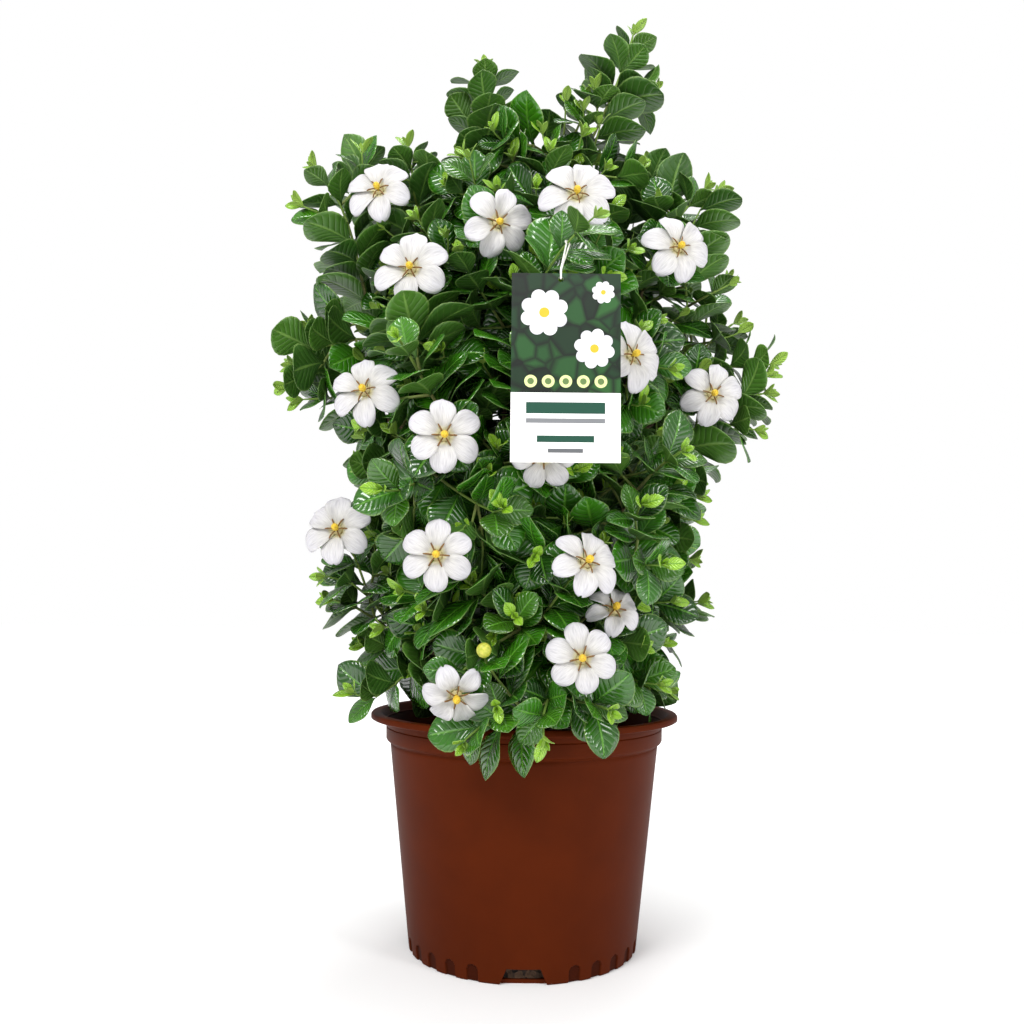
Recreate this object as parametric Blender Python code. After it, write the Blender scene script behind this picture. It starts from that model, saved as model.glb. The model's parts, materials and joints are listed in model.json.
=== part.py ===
"""Potted gardenia: a flowering shrub in a two-gallon nursery container, with a hanging care tag.

The origin is on the pot's axis at the bottom of its foot. +Z is up and the front of the plant faces -Y.
"""
import math
import random

import bpy
from mathutils import Matrix, Vector
from mathutils.bvhtree import BVHTree

for old in list(bpy.data.objects):
    bpy.data.objects.remove(old)

# Driving dimensions, in metres.
POT_HEIGHT = 0.2027
LIP_RADIUS = 0.1365
LIP_INNER_RADIUS = 0.1273
COLLAR_RADIUS = 0.1228
COLLAR_BOTTOM = 0.1780
FOOT_RADIUS = 0.0997
WALL = 0.0016
FLUTE_HEIGHT = 0.0135
FLUTE_DEPTH = 0.0008
NOTCH_HEIGHT = 0.0130
SOIL_TOP = 0.1760
TAG_SIZE = (0.0800, 0.0008, 0.1400)
TAG_CENTRE = (0.0256, -0.1960, 0.4720)
TAG_HOLE = (-0.0040, 0.0655)
TAG_HOLE_RADIUS = 0.0020
STRING_RADIUS = 0.0007
STEM_SHARE = 0.71
NODE_SPACING = 0.0185
LEAF_THICKNESS = 0.0009
GAP = 0.0003
BUD_RADIUS = 0.0055
BUD_CENTRE = (-0.032, -0.182, 0.266)
BUD_FACING = (0.10, -1.0, 0.30)
SEED = 20

# Each flower: throat centre, the way it faces, and its radius.
FLOWERS = [
    ((-0.133, -0.060, 0.661), (-0.20, -1.0, 0.25), 0.031),
    ((-0.097, -0.120, 0.570), (-0.10, -1.0, 0.15), 0.032),
    ((-0.026, -0.120, 0.609), (0.25, -1.0, -0.15), 0.029),
    ((0.037, -0.135, 0.628), (0.00, -1.0, 0.25), 0.033),
    ((0.128, -0.080, 0.604), (0.30, -1.0, 0.10), 0.032),
    ((0.081, -0.140, 0.495), (0.55, -1.0, 0.15), 0.030),
    ((0.160, -0.060, 0.481), (0.15, -1.0, 0.05), 0.029),
    ((-0.131, -0.130, 0.467), (-0.15, -1.0, 0.20), 0.029),
    ((-0.064, -0.170, 0.425), (0.10, -1.0, 0.05), 0.029),
    ((0.011, -0.155, 0.412), (-0.10, -1.0, -0.20), 0.026),
    ((-0.155, -0.100, 0.358), (-0.20, -1.0, 0.35), 0.030),
    ((-0.068, -0.175, 0.335), (0.00, -1.0, 0.10), 0.028),
    ((0.043, -0.175, 0.331), (0.40, -1.0, 0.45), 0.028),
    ((0.067, -0.140, 0.296), (0.30, -1.0, 0.60), 0.022),
    ((0.040, -0.172, 0.260), (0.00, -1.0, 0.15), 0.027),
    ((-0.052, -0.172, 0.232), (0.10, -1.0, -0.45), 0.025),
    ((-0.070, 0.150, 0.560), (-0.30, 1.0, 0.25), 0.031),
    ((0.085, 0.160, 0.400), (0.35, 1.0, 0.20), 0.030),
]

# Woody limbs: foot on the soil, top, radius at the foot.
LIMBS = [
    ((0.004, 0.004), (0.020, 0.000, 0.600), 0.0062),
    ((-0.012, 0.000), (-0.085, -0.020, 0.540), 0.0052),
    ((0.014, -0.002), (0.090, -0.010, 0.500), 0.0052),
    ((-0.003, -0.013), (-0.020, -0.080, 0.460), 0.0048),
    ((0.001, 0.015), (0.000, 0.090, 0.500), 0.0048),
    ((0.012, -0.010), (0.060, -0.085, 0.330), 0.0040),
    ((-0.012, -0.009), (-0.080, -0.060, 0.300), 0.0040),
    ((0.010, 0.011), (0.075, 0.070, 0.330), 0.0040),
    ((-0.010, 0.010), (-0.070, 0.080, 0.320), 0.0040),
]

# Leading shoots: tip and the way the tip points. Each becomes one leafy body.
LEADERS = [
    ((0.098, 0.000, 0.838), (0.25, -0.05, 1.0)),
    ((-0.042, 0.000, 0.803), (-0.10, 0.00, 1.0)),
    ((-0.112, -0.020, 0.715), (-0.20, -0.15, 1.0)),
    ((-0.195, -0.020, 0.695), (-0.70, -0.15, 0.7)),
    ((0.160, -0.020, 0.678), (0.70, -0.20, 0.6)),
    ((0.195, 0.020, 0.565), (0.90, 0.00, 0.5)),
    ((0.212, -0.020, 0.490), (1.00, -0.15, 0.1)),
    ((-0.212, 0.000, 0.515), (-1.0, -0.15, 0.3)),
    ((0.010, -0.145, 0.505), (0.0, -0.80, 0.5)),
    ((-0.100, -0.160, 0.500), (-0.3, -1.00, 0.3)),
    ((0.120, -0.130, 0.420), (0.5, -1.00, 0.2)),
    ((-0.165, -0.040, 0.300), (-1.0, -0.35, 0.2)),
    ((-0.010, -0.160, 0.290), (0.0, -1.00, 0.1)),
    ((0.150, -0.030, 0.300), (1.0, -0.30, 0.3)),
    ((0.030, 0.120, 0.650), (0.2, 0.60, 0.8)),
    ((-0.130, 0.115, 0.470), (-0.8, 0.80, 0.4)),
    ((0.130, 0.120, 0.500), (0.8, 0.80, 0.4)),
    ((0.000, 0.160, 0.300), (0.0, 1.00, 0.2)),
]

# Side twigs that shape the outline: tip and the way the tip points.
SIDE_TIPS = [
    ((0.046, -0.174, 0.592), (0.7, -0.6, 0.4)),
    ((0.062, -0.015, 0.775), (-0.2, -0.2, 1.0)),
    ((0.118, 0.010, 0.790), (0.7, 0.0, 0.8)),
    ((0.050, -0.020, 0.752), (-0.1, -0.3, 1.0)),
    ((0.012, -0.040, 0.720), (-0.2, -0.4, 1.0)),
    ((-0.068, 0.010, 0.765), (-0.6, 0.1, 0.9)),
    ((-0.158, 0.020, 0.725), (-0.1, 0.0, 1.0)),
    ((-0.200, -0.045, 0.650), (-0.8, -0.4, 0.3)),
    ((0.112, 0.000, 0.710), (0.2, 0.0, 1.0)),
    ((0.183, 0.000, 0.600), (0.8, 0.0, 0.7)),
    ((0.222, -0.005, 0.520), (0.9, 0.1, 0.3)),
    ((0.200, -0.035, 0.455), (0.9, -0.3, -0.2)),
    ((-0.200, -0.025, 0.480), (-0.8, -0.4, -0.2)),
    ((-0.155, 0.030, 0.590), (-0.9, 0.1, 0.5)),
    ((0.150, -0.020, 0.395), (0.9, -0.3, 0.2)),
    ((0.145, -0.010, 0.340), (0.9, -0.2, 0.0)),
    ((-0.165, -0.075, 0.320), (-0.8, -0.6, 0.0)),
    ((-0.135, -0.045, 0.262), (-0.9, -0.5, 0.2)),
    ((-0.140, -0.070, 0.222), (-0.6, -0.5, 0.5)),
    ((0.105, -0.090, 0.235), (0.7, -0.6, 0.1)),
    ((0.120, -0.040, 0.225), (0.9, -0.4, 0.1)),
    ((0.012, -0.172, 0.205), (0.1, -0.7, -0.8)),
    ((-0.045, -0.168, 0.200), (-0.2, -0.8, -0.5)),
    ((-0.022, -0.172, 0.225), (0.0, -1.0, -0.2)),
    ((0.060, -0.160, 0.222), (0.4, -1.0, -0.3)),
    ((0.100, -0.150, 0.330), (0.5, -1.0, 0.2)),
    ((-0.110, -0.150, 0.385), (-0.5, -1.0, 0.1)),
    ((-0.020, -0.165, 0.370), (0.0, -1.0, 0.3)),
    ((0.085, -0.150, 0.375), (0.4, -1.0, 0.3)),
]

# Reach of the crown by height: z, right, left, front, back.
CROWN = [
    (0.215, 0.120, 0.130, 0.150, 0.145),
    (0.300, 0.145, 0.150, 0.165, 0.160),
    (0.400, 0.150, 0.160, 0.160, 0.165),
    (0.500, 0.170, 0.165, 0.150, 0.160),
    (0.600, 0.165, 0.155, 0.120, 0.145),
    (0.680, 0.130, 0.145, 0.085, 0.105),
    (0.730, 0.090, 0.090, 0.050, 0.060),
]
FILL_TIPS = 28
TIP_SPACING = 0.046


def material(name, colour, roughness, metallic=0.0):
    """A plain Principled material; the colour is linear."""
    made = bpy.data.materials.new(name)
    made.use_nodes = True
    shader = made.node_tree.nodes["Principled BSDF"]
    shader.inputs["Base Color"].default_value = (*colour, 1.0)
    shader.inputs["Roughness"].default_value = roughness
    shader.inputs["Metallic"].default_value = metallic
    made.diffuse_color = (*colour, 1.0)
    return made


POT_PLASTIC = material("pot_plastic", (0.135, 0.030, 0.010), 0.42)
SOIL = material("potting_soil", (0.030, 0.018, 0.011), 0.95)
BARK = material("bark", (0.130, 0.080, 0.048), 0.80)
GREEN_STEM = material("green_stem", (0.110, 0.170, 0.040), 0.60)
LEAF = material("leaf", (0.018, 0.085, 0.014), 0.28)
PETAL = material("petal", (0.880, 0.870, 0.850), 0.55)
STIGMA = material("stigma", (0.850, 0.560, 0.030), 0.60)
CARD = material("tag_card", (0.850, 0.850, 0.840), 0.35)
STRING = material("tag_string", (0.800, 0.790, 0.760), 0.60)
BUD = material("flower_bud", (0.600, 0.640, 0.170), 0.50)


def add_object(name, verts, faces, materials, slots=None, smooth=False):
    """One mesh object; slots gives each face's material slot."""
    mesh = bpy.data.meshes.new(name)
    mesh.from_pydata([tuple(v) for v in verts], [], faces)
    for one in materials:
        mesh.materials.append(one)
    if slots:
        mesh.polygons.foreach_set("material_index", slots)
    if smooth:
        mesh.shade_smooth()
    mesh.update()
    made = bpy.data.objects.new(name, mesh)
    bpy.context.scene.collection.objects.link(made)
    return made


# ---------------------------------------------------------------- plant layout


class Space:
    """Keeps what has been placed, so that the next thing can be tested against it."""

    def __init__(self, cell=0.04):
        self.cell = cell
        self.cells = {}
        self.count = 0

    def keys(self, points):
        low = [min(p[a] for p in points) for a in range(3)]
        high = [max(p[a] for p in points) for a in range(3)]
        spans = [
            range(math.floor(low[a] / self.cell), math.floor(high[a] / self.cell) + 1)
            for a in range(3)
        ]
        return [(i, j, k) for i in spans[0] for j in spans[1] for k in spans[2]]

    def add(self, points, faces, owner):
        tree = BVHTree.FromPolygons(points, faces)
        self.count += 1
        for key in self.keys(points):
            self.cells.setdefault(key, []).append((tree, owner, self.count))

    def hits(self, points, faces, skip=()):
        tree = BVHTree.FromPolygons(points, faces)
        seen = set()
        for key in self.keys(points):
            for other, owner, number in self.cells.get(key, ()):
                if number in seen or owner in skip:
                    continue
                seen.add(number)
                if tree.overlap(other):
                    return True
        return False


def bezier(p0, p1, p2, p3, t):
    u = 1.0 - t
    return p0 * u**3 + p1 * (3 * u * u * t) + p2 * (3 * u * t * t) + p3 * t**3


def curve_points(start, start_way, end, end_way, spacing):
    """Evenly spaced points on a smooth curve from start to end."""
    reach = (end - start).length
    p1 = start + start_way * reach * 0.36
    p2 = end - end_way * reach * 0.36
    fine = [bezier(start, p1, p2, end, i / 40) for i in range(41)]
    total = sum((b - a).length for a, b in zip(fine, fine[1:]))
    count = max(2, round(total / spacing))
    points = [fine[0].copy()]
    walked = 0.0
    step = total / count
    target = step
    for a, b in zip(fine, fine[1:]):
        length = (b - a).length
        while walked + length >= target - 1e-9 and len(points) < count:
            points.append(a.lerp(b, (target - walked) / length))
            target += step
        walked += length
    points.append(fine[-1].copy())
    return points


def tube_mesh(points, radii, sides=4):
    """A plain tube round a run of points, as vertices and faces."""
    verts = []
    faces = []
    side = None
    for i, point in enumerate(points):
        way = (points[min(i + 1, len(points) - 1)] - points[max(i - 1, 0)]).normalized()
        side = (side or way.orthogonal()) - way * (side or way.orthogonal()).dot(way)
        side.normalize()
        other = way.cross(side)
        for k in range(sides):
            turn = 2 * math.pi * (k + 0.5) / sides
            verts.append(point + (side * math.cos(turn) + other * math.sin(turn)) * radii[i])
    for i in range(len(points) - 1):
        for k in range(sides):
            a = i * sides + k
            b = i * sides + (k + 1) % sides
            faces.append((a, b, b + sides, a + sides))
    faces.append(tuple(reversed(range(sides))))
    faces.append(tuple(range((len(points) - 1) * sides, len(points) * sides)))
    return verts, faces


def leaf_hull(base, way, normal, length, width, clear, offset=0.0005):
    """A thin closed shape round a leaf blade, a little bigger than the leaf."""
    side = normal.cross(way)
    start = base + way * offset
    middle = base + way * length * 0.55 + normal * length * 0.05
    end = base + way * (length + clear) - normal * length * 0.03
    half = width / 2 + clear
    points = [
        start - side * 0.0016,
        start + side * 0.0016,
        middle + side * half,
        end + side * half * 0.5,
        end - side * half * 0.5,
        middle - side * half,
        middle + normal * (LEAF_THICKNESS / 2 + clear),
        middle - normal * (LEAF_THICKNESS / 2 + clear),
    ]
    faces = []
    for i in range(6):
        faces.append((i, (i + 1) % 6, 6))
        faces.append(((i + 1) % 6, i, 7))
    return points, faces


def ring_shape(profile, sides=24):
    """Vertices and faces of a turned surface, from (radius, z) points."""
    verts = []
    faces = []
    for radius, height in profile:
        for k in range(sides):
            turn = 2 * math.pi * k / sides
            verts.append(Vector((radius * math.cos(turn), radius * math.sin(turn), height)))
    for i in range(len(profile) - 1):
        for k in range(sides):
            a = i * sides + k
            b = i * sides + (k + 1) % sides
            faces.append((a, b, b + sides, a + sides))
    return verts, faces


def flower_frame(facing):
    """The flower's axis and two directions across it."""
    axis = Vector(facing).normalized()
    across = Vector((0, 0, 1)).cross(axis).normalized()
    return axis, across, axis.cross(across)


rng = random.Random(SEED)
space = Space()

# Keep-out shapes: pot, soil, tag, and the room in front of each flower.
pot_room = [
    (0.0, SOIL_TOP + 0.001),
    (LIP_INNER_RADIUS - 0.004, SOIL_TOP + 0.001),
    (LIP_INNER_RADIUS - 0.0015, POT_HEIGHT + 0.001),
    (LIP_RADIUS + 0.0015, POT_HEIGHT + 0.001),
    (LIP_RADIUS + 0.0015, POT_HEIGHT - 0.010),
    (COLLAR_RADIUS + 0.001, COLLAR_BOTTOM),
    (FOOT_RADIUS + 0.001, 0.0),
]
space.add(*ring_shape(pot_room), "pot")


def box_shape(low, high):
    points = [
        Vector((x, y, z)) for z in (low[2], high[2]) for y in (low[1], high[1]) for x in (low[0], high[0])
    ]
    faces = [(0, 2, 3, 1), (4, 5, 7, 6), (0, 1, 5, 4), (2, 6, 7, 3), (0, 4, 6, 2), (1, 3, 7, 5)]
    return points, faces


tag_low = (
    TAG_CENTRE[0] - TAG_SIZE[0] / 2 - 0.002,
    TAG_CENTRE[1] - 0.060,
    TAG_CENTRE[2] - TAG_SIZE[2] / 2 - 0.002,
)
tag_high = (
    TAG_CENTRE[0] + TAG_SIZE[0] / 2 + 0.002,
    TAG_CENTRE[1] + 0.0025,
    TAG_CENTRE[2] + TAG_SIZE[2] / 2 + 0.002,
)
space.add(*box_shape(tag_low, tag_high), "tag")


def blocks_view(point):
    """True for a place right in front of the tag or of an open flower."""
    if all(tag_low[a] < point[a] < tag_high[a] for a in range(3)):
        return True
    for centre, facing, radius in FLOWERS:
        axis = Vector(facing).normalized()
        offset = point - Vector(centre)
        ahead = offset.dot(axis)
        if -0.004 < ahead < 0.05 and (offset - axis * ahead).length < radius * 0.95:
            return True
    return False


TUBE_LENGTH = 0.014
for number, (centre, facing, radius) in enumerate(FLOWERS):
    axis, across, up = flower_frame(facing)
    cone = [(0.0, -TUBE_LENGTH), (0.0035, -TUBE_LENGTH), (0.0045, -0.003)]
    cone += [(radius + 0.001, -0.004), (radius + 0.001, 0.006), (0.0, 0.010)]
    points, faces = ring_shape(cone, 10)
    placed = [Vector(centre) + across * p.x + up * p.y + axis * p.z for p in points]
    space.add(placed, faces, "flower%d" % number)

# Limbs.
limbs = []
for foot, top, radius in LIMBS:
    start = Vector((foot[0], foot[1], SOIL_TOP + 0.006))
    end = Vector(top)
    outward = Vector((end.x, end.y, 0.0))
    lean = (Vector((0, 0, 1)) + outward * 1.6).normalized()
    points = curve_points(start, Vector((outward.x, outward.y, 0.16)).normalized(), end, lean, 0.045)
    radii = [radius * (1.0 - 0.58 * i / (len(points) - 1)) for i in range(len(points))]
    limbs.append((points, radii))
    space.add(*tube_mesh(points, [r + 0.0006 for r in radii], 6), "limb")


class Twig:
    """A run of leaf nodes: places, frames, radii, and what grows on each side of each node."""

    def __init__(self, points, radius, frame, shoot, leafy, ends, flower=None):
        self.points = points
        self.shoot = shoot
        self.flower = flower
        self.leafy = leafy
        self.grown = {}
        self.ways = []
        self.frames = []
        last = len(points) - 1
        self.radii = [radius * (1.0 - 0.45 * i / last) for i in range(last + 1)]
        e1 = frame
        for i in range(last + 1):
            way = (points[min(i + 1, last)] - points[max(i - 1, 0)]).normalized()
            if i in (0, last):
                way = ends[0 if i == 0 else 1].copy()
            e1 = (e1 - way * e1.dot(way)).normalized()
            self.ways.append(way)
            self.frames.append((e1, way.cross(e1)))

    def out(self, i, side):
        """The outward direction of one of the four sides of node i."""
        e1, e2 = self.frames[i]
        return (e2, -e1, -e2, e1)[side]


twigs = []


def add_twig(points, radius, frame, shoot, leafy, ends, flower=None, skip=()):
    """Places a twig if it runs clear of everything else."""
    last = len(points) - 1
    test = [points[0].lerp(points[1], 0.35)] + points[1:]
    wide = [radius * (1.0 - 0.45 * i / last) + 0.0007 for i in range(last + 1)]
    verts, faces = tube_mesh(test, wide)
    if space.hits(verts, faces, skip):
        return None
    made = Twig(points, radius, frame, shoot, leafy, ends, flower)
    twigs.append(made)
    whole = [points[0].lerp(points[1], 0.10)] + points[1:]
    whole[-1] = points[-1] + made.ways[-1] * (0.004 if flower is None else 0.0)
    verts, faces = tube_mesh(whole, wide)
    space.add(verts, faces, "twig%d" % (len(twigs) - 1))
    return made


def vector_pair(place, way):
    return Vector(place), Vector(way).normalized()


# Leading shoots start on the surface of the nearest limb, or on its end.
roots = []
for shoot, (tip, way) in enumerate(LEADERS):
    tip, way = vector_pair(tip, way)
    options = []
    for points, radii in limbs:
        for i in range(2, len(points)):
            drop = tip.z - points[i].z
            cost = (tip - points[i]).length + max(0.0, 0.03 - drop) * 4
            options.append((cost, points, radii, i))
    options.sort(key=lambda item: item[0])
    for cost, points, radii, i in options[:14]:
        along = (points[min(i + 1, len(points) - 1)] - points[i - 1]).normalized()
        if i == len(points) - 1:
            start = points[i] + along * GAP
            start_way = along
        else:
            aim = tip - points[i]
            start_way = (aim - along * aim.dot(along)).normalized()
            start = points[i] + start_way * (radii[i] + GAP + 0.0001)
        if any((start - root).length < 0.012 for root in roots):
            continue
        bend = start_way if i == len(points) - 1 else (start_way + along * 0.15).normalized()
        path = curve_points(start, bend, tip, way, NODE_SPACING)
        ends = (start_way, way)
        if add_twig(path, 0.0021, way.orthogonal(), shoot, 0.45, ends):
            roots.append(start)
            break


def grow_side_twig(tip, way, flower=None, seat=0.0):
    """Grows a twig to the tip from the side of a leading shoot that suits it best."""
    end = tip - way * seat
    options = []
    for parent in [t for t in twigs if t.flower is None]:
        for i in range(1, len(parent.points) - 2):
            aim = end - parent.points[i]
            reach = aim.length
            if reach < 0.022 or reach > 0.17:
                continue
            steep = aim.normalized().dot(parent.ways[i])
            if steep > 0.93 or steep < -0.35:
                continue
            crowd = len([1 for key in parent.grown if key[0] == i])
            cost = reach + abs(steep - 0.5) * 0.03 + crowd * 0.02
            options.append((cost, parent, i))
    options.sort(key=lambda item: item[0])
    for cost, parent, i in options[:16]:
        aim = (end - parent.points[i]).normalized()
        side = max(range(4), key=lambda k: parent.out(i, k).dot(aim))
        if (i, side) in parent.grown:
            continue
        out = parent.out(i, side)
        start = parent.points[i] + out * parent.radii[i] * STEM_SHARE
        start_way = (out + parent.ways[i] * 0.45 + aim * 0.4).normalized()
        path = curve_points(start, start_way, end, way, NODE_SPACING)
        skip = ("flower%s" % flower,)
        ends = (start_way, way)
        made = add_twig(path, 0.0015, -parent.ways[i], parent.shoot, 0.85, ends, flower, skip)
        if made:
            parent.grown[(i, side)] = made
            return made
    return None


tips = []
missed = []
for number, (centre, facing, radius) in enumerate(FLOWERS):
    centre, facing = vector_pair(centre, facing)
    made = grow_side_twig(centre, facing, number, TUBE_LENGTH + GAP)
    tips.append(centre)
    if made is None:
        missed.append("flower %d" % number)
for number, (tip, way) in enumerate(SIDE_TIPS):
    tip, way = vector_pair(tip, way)
    made = grow_side_twig(tip, way)
    tips.append(tip)
    if made is None:
        missed.append("side %d" % number)
tips += [Vector(tip) for tip, way in LEADERS]

bud_centre, bud_facing = vector_pair(BUD_CENTRE, BUD_FACING)
bud_seat = BUD_RADIUS * 1.25 + GAP
bud_room = [(0.0, -bud_seat + 0.001), (BUD_RADIUS + 0.001, 0.0), (0.0, bud_seat + 0.001)]
points, faces = ring_shape(bud_room, 8)
turn_to_bud = bud_facing.to_track_quat("Z", "Y")
space.add([bud_centre + turn_to_bud @ p for p in points], faces, "flowerbud")
if grow_side_twig(bud_centre, bud_facing, "bud", bud_seat) is None:
    missed.append("bud")
tips.append(bud_centre)

# The tag's string: a closed loop through the hole and over the nearest twig.
hole = Vector(TAG_CENTRE) + Vector((TAG_HOLE[0], 0.0, TAG_HOLE[1]))


def string_loop(over, way, radius):
    """Places along a loop that passes through the tag's hole and over a twig."""
    up = (Vector((0, 0, 1)) - way * way.z).normalized()
    side = way.cross(up)
    if side.y > 0:
        side = -side
    bend = radius + STRING_RADIUS + GAP
    rest = hole + Vector((0, 0, TAG_HOLE_RADIUS - STRING_RADIUS - GAP))
    step = Vector((0, 0.0018, 0))
    clear = Vector((0, 0, 0.0065))
    low = [rest - step + clear, rest - step + clear * 0.2, rest - step * 0.4]
    low += [rest + step * 0.4, rest + step + clear * 0.2, rest + step + clear]
    top = []
    for k in range(-1, 8):
        turn = math.radians(30 * k)
        top.append(over + (side * math.cos(turn) + up * math.sin(turn)) * bend)
    top.reverse()
    rising = [low[-1].lerp(top[0], t) for t in (0.25, 0.5, 0.75)]
    falling = [top[-1].lerp(low[0], t) for t in (0.25, 0.5, 0.75)]
    return low + rising + top + falling


def closed_tube(places, radius, sides):
    """A tube along a closed run of places."""
    verts = []
    faces = []
    count = len(places)
    side = Vector((1, 0, 0))
    for i in range(count):
        way = (places[(i + 1) % count] - places[i - 1]).normalized()
        side = (side - way * side.dot(way)).normalized()
        other = way.cross(side)
        for k in range(sides):
            turn = 2 * math.pi * k / sides
            verts.append(places[i] + (side * math.cos(turn) + other * math.sin(turn)) * radius)
    first = verts[:sides]
    shift = min(range(sides), key=lambda k: (verts[-sides + k] - first[0]).length)
    for i in range(count):
        for k in range(sides):
            a = i * sides + k
            b = i * sides + (k + 1) % sides
            if i < count - 1:
                faces.append((a, b, b + sides, a + sides))
            else:
                faces.append((a, b, (k + 1 - shift) % sides, (k - shift) % sides))
    return verts, faces


string_places = None
options = []
wish = Vector((hole.x + 0.004, hole.y + 0.024, hole.z + 0.030))
for number, twig in enumerate(twigs):
    for i in range(1, len(twig.points) - 1):
        middle = twig.points[i].lerp(twig.points[i + 1], 0.5)
        if middle.z > hole.z + 0.012:
            cost = (middle - wish).length + abs(twig.ways[i].z) * 0.02
            options.append((cost, number, i, middle))
options.sort(key=lambda item: item[0])
for cost, number, i, middle in options[:30]:
    way = (twigs[number].points[i + 1] - twigs[number].points[i]).normalized()
    places = string_loop(middle, way, twigs[number].radii[i])
    points, faces = closed_tube(places, STRING_RADIUS + 0.0004, 6)
    if not space.hits(points, faces, ("tag", "twig%d" % number)):
        string_places = places
        space.add(points, faces, "string")
        break
if string_places is None:
    missed.append("string")


def crown_reach(height, turn):
    """How far the crown reaches at a height, towards the angle turn."""
    row = next(i for i in range(1, len(CROWN)) if height <= CROWN[i][0] or i == len(CROWN) - 1)
    low, high = CROWN[row - 1], CROWN[row]
    t = (height - low[0]) / (high[0] - low[0])
    right, left, front, back = (low[k] + (high[k] - low[k]) * t for k in range(1, 5))
    x = math.cos(turn) * (right if math.cos(turn) > 0 else left)
    y = math.sin(turn) * (back if math.sin(turn) > 0 else front)
    return Vector((x, y, height))


filled = 0
for attempt in range(1500):
    height = rng.uniform(CROWN[0][0], CROWN[-1][0])
    turn = rng.uniform(0, 2 * math.pi)
    tip = crown_reach(height, turn)
    depth = rng.uniform(0.72, 1.0)
    tip = Vector((tip.x * depth, tip.y * depth, tip.z))
    rise = 0.15 + 0.9 * (height - 0.2) / 0.5 + rng.uniform(-0.2, 0.3)
    way = Vector((math.cos(turn), math.sin(turn), rise)).normalized()
    if blocks_view(tip) or any((tip - other).length < TIP_SPACING for other in tips):
        continue
    if grow_side_twig(tip, way):
        tips.append(tip)
        filled += 1
    if filled == FILL_TIPS:
        break

# Leaves: opposite pairs, each pair turned a quarter from the one below it.
leaves = []


def try_leaf(twig, number, i, side, age):
    """Places a leaf on one side of a node, with a few tries at its angle and size."""
    way = twig.ways[i]
    out = twig.out(i, side)
    base = twig.points[i] + out * twig.radii[i] * STEM_SHARE
    outward = Vector((twig.points[i].x, twig.points[i].y, 0.0))
    outward = outward.normalized() if outward.length > 0.01 else Vector((0, 0, 1))
    for attempt in range(7):
        spread = math.radians(34 + 34 * age + rng.uniform(-14, 14))
        swing = rng.uniform(-0.35, 0.35)
        across = way.cross(out)
        aim = out * math.sin(spread) + way * math.cos(spread) + across * swing * math.sin(spread)
        aim = (aim + Vector((0, 0, rng.uniform(-0.12, 0.12)))).normalized()
        face = way * 0.8 + outward * 0.35 + Vector((0, 0, 0.45))
        face += Vector((rng.uniform(-1, 1), rng.uniform(-1, 1), rng.uniform(-1, 1))) * 0.22
        normal = (face - aim * face.dot(aim)).normalized()
        length = (0.019 + 0.021 * age) * rng.uniform(0.86, 1.16) * (1.0 - 0.045 * attempt)
        width = length * rng.uniform(0.74, 0.88)
        middle = base + aim * length * 0.55
        if blocks_view(middle) or blocks_view(base + aim * length):
            continue
        hull = leaf_hull(base, aim, normal, length, width, 0.0004)
        beyond = leaf_hull(base, aim, normal, length, width, 0.0004, 0.0045)
        if space.hits(*hull, skip=("twig%d" % number,)) or space.hits(*beyond):
            continue
        space.add(*hull, "leaf")
        leaf = (base, aim, normal, length, width, age)
        twig.grown[(i, side)] = leaf
        leaves.append((twig.shoot, leaf))
        return


for number, twig in enumerate(twigs):
    last = len(twig.points) - 1
    first = max(1, round(last * (1.0 - twig.leafy)))
    if twig.flower is not None:
        last -= 1
    for i in range(last, first - 1, -1):
        age = min(1.0, 0.12 + (last - i) * 0.24)
        if twig.flower is not None:
            age = min(1.0, age + 0.45)
        sides = (0, 2) if i % 2 else (1, 3)
        for side in sides:
            if (i, side) not in twig.grown and i < len(twig.points) - 1:
                try_leaf(twig, number, i, side, age)

print("twigs", len(twigs), "filled", filled, "leaves", len(leaves), "missed", missed)

# ------------------------------------------------------------------------- pot


def turned(name, profile, sides, made_of):
    """A solid turned about Z from a closed (radius, z) outline that starts and ends on the axis."""
    verts = [Vector((0, 0, profile[0][1]))]
    faces = []
    rings = profile[1:-1]
    for radius, height in rings:
        for k in range(sides):
            turn = 2 * math.pi * k / sides
            verts.append(Vector((radius * math.cos(turn), radius * math.sin(turn), height)))
    verts.append(Vector((0, 0, profile[-1][1])))
    for k in range(sides):
        faces.append((0, 1 + (k + 1) % sides, 1 + k))
    for i in range(len(rings) - 1):
        for k in range(sides):
            a = 1 + i * sides + k
            b = 1 + i * sides + (k + 1) % sides
            faces.append((a, b, b + sides, a + sides))
    end = 1 + (len(rings) - 1) * sides
    for k in range(sides):
        faces.append((len(verts) - 1, end + k, end + (k + 1) % sides))
    return add_object(name, verts, faces, [made_of], smooth=True)


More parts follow.
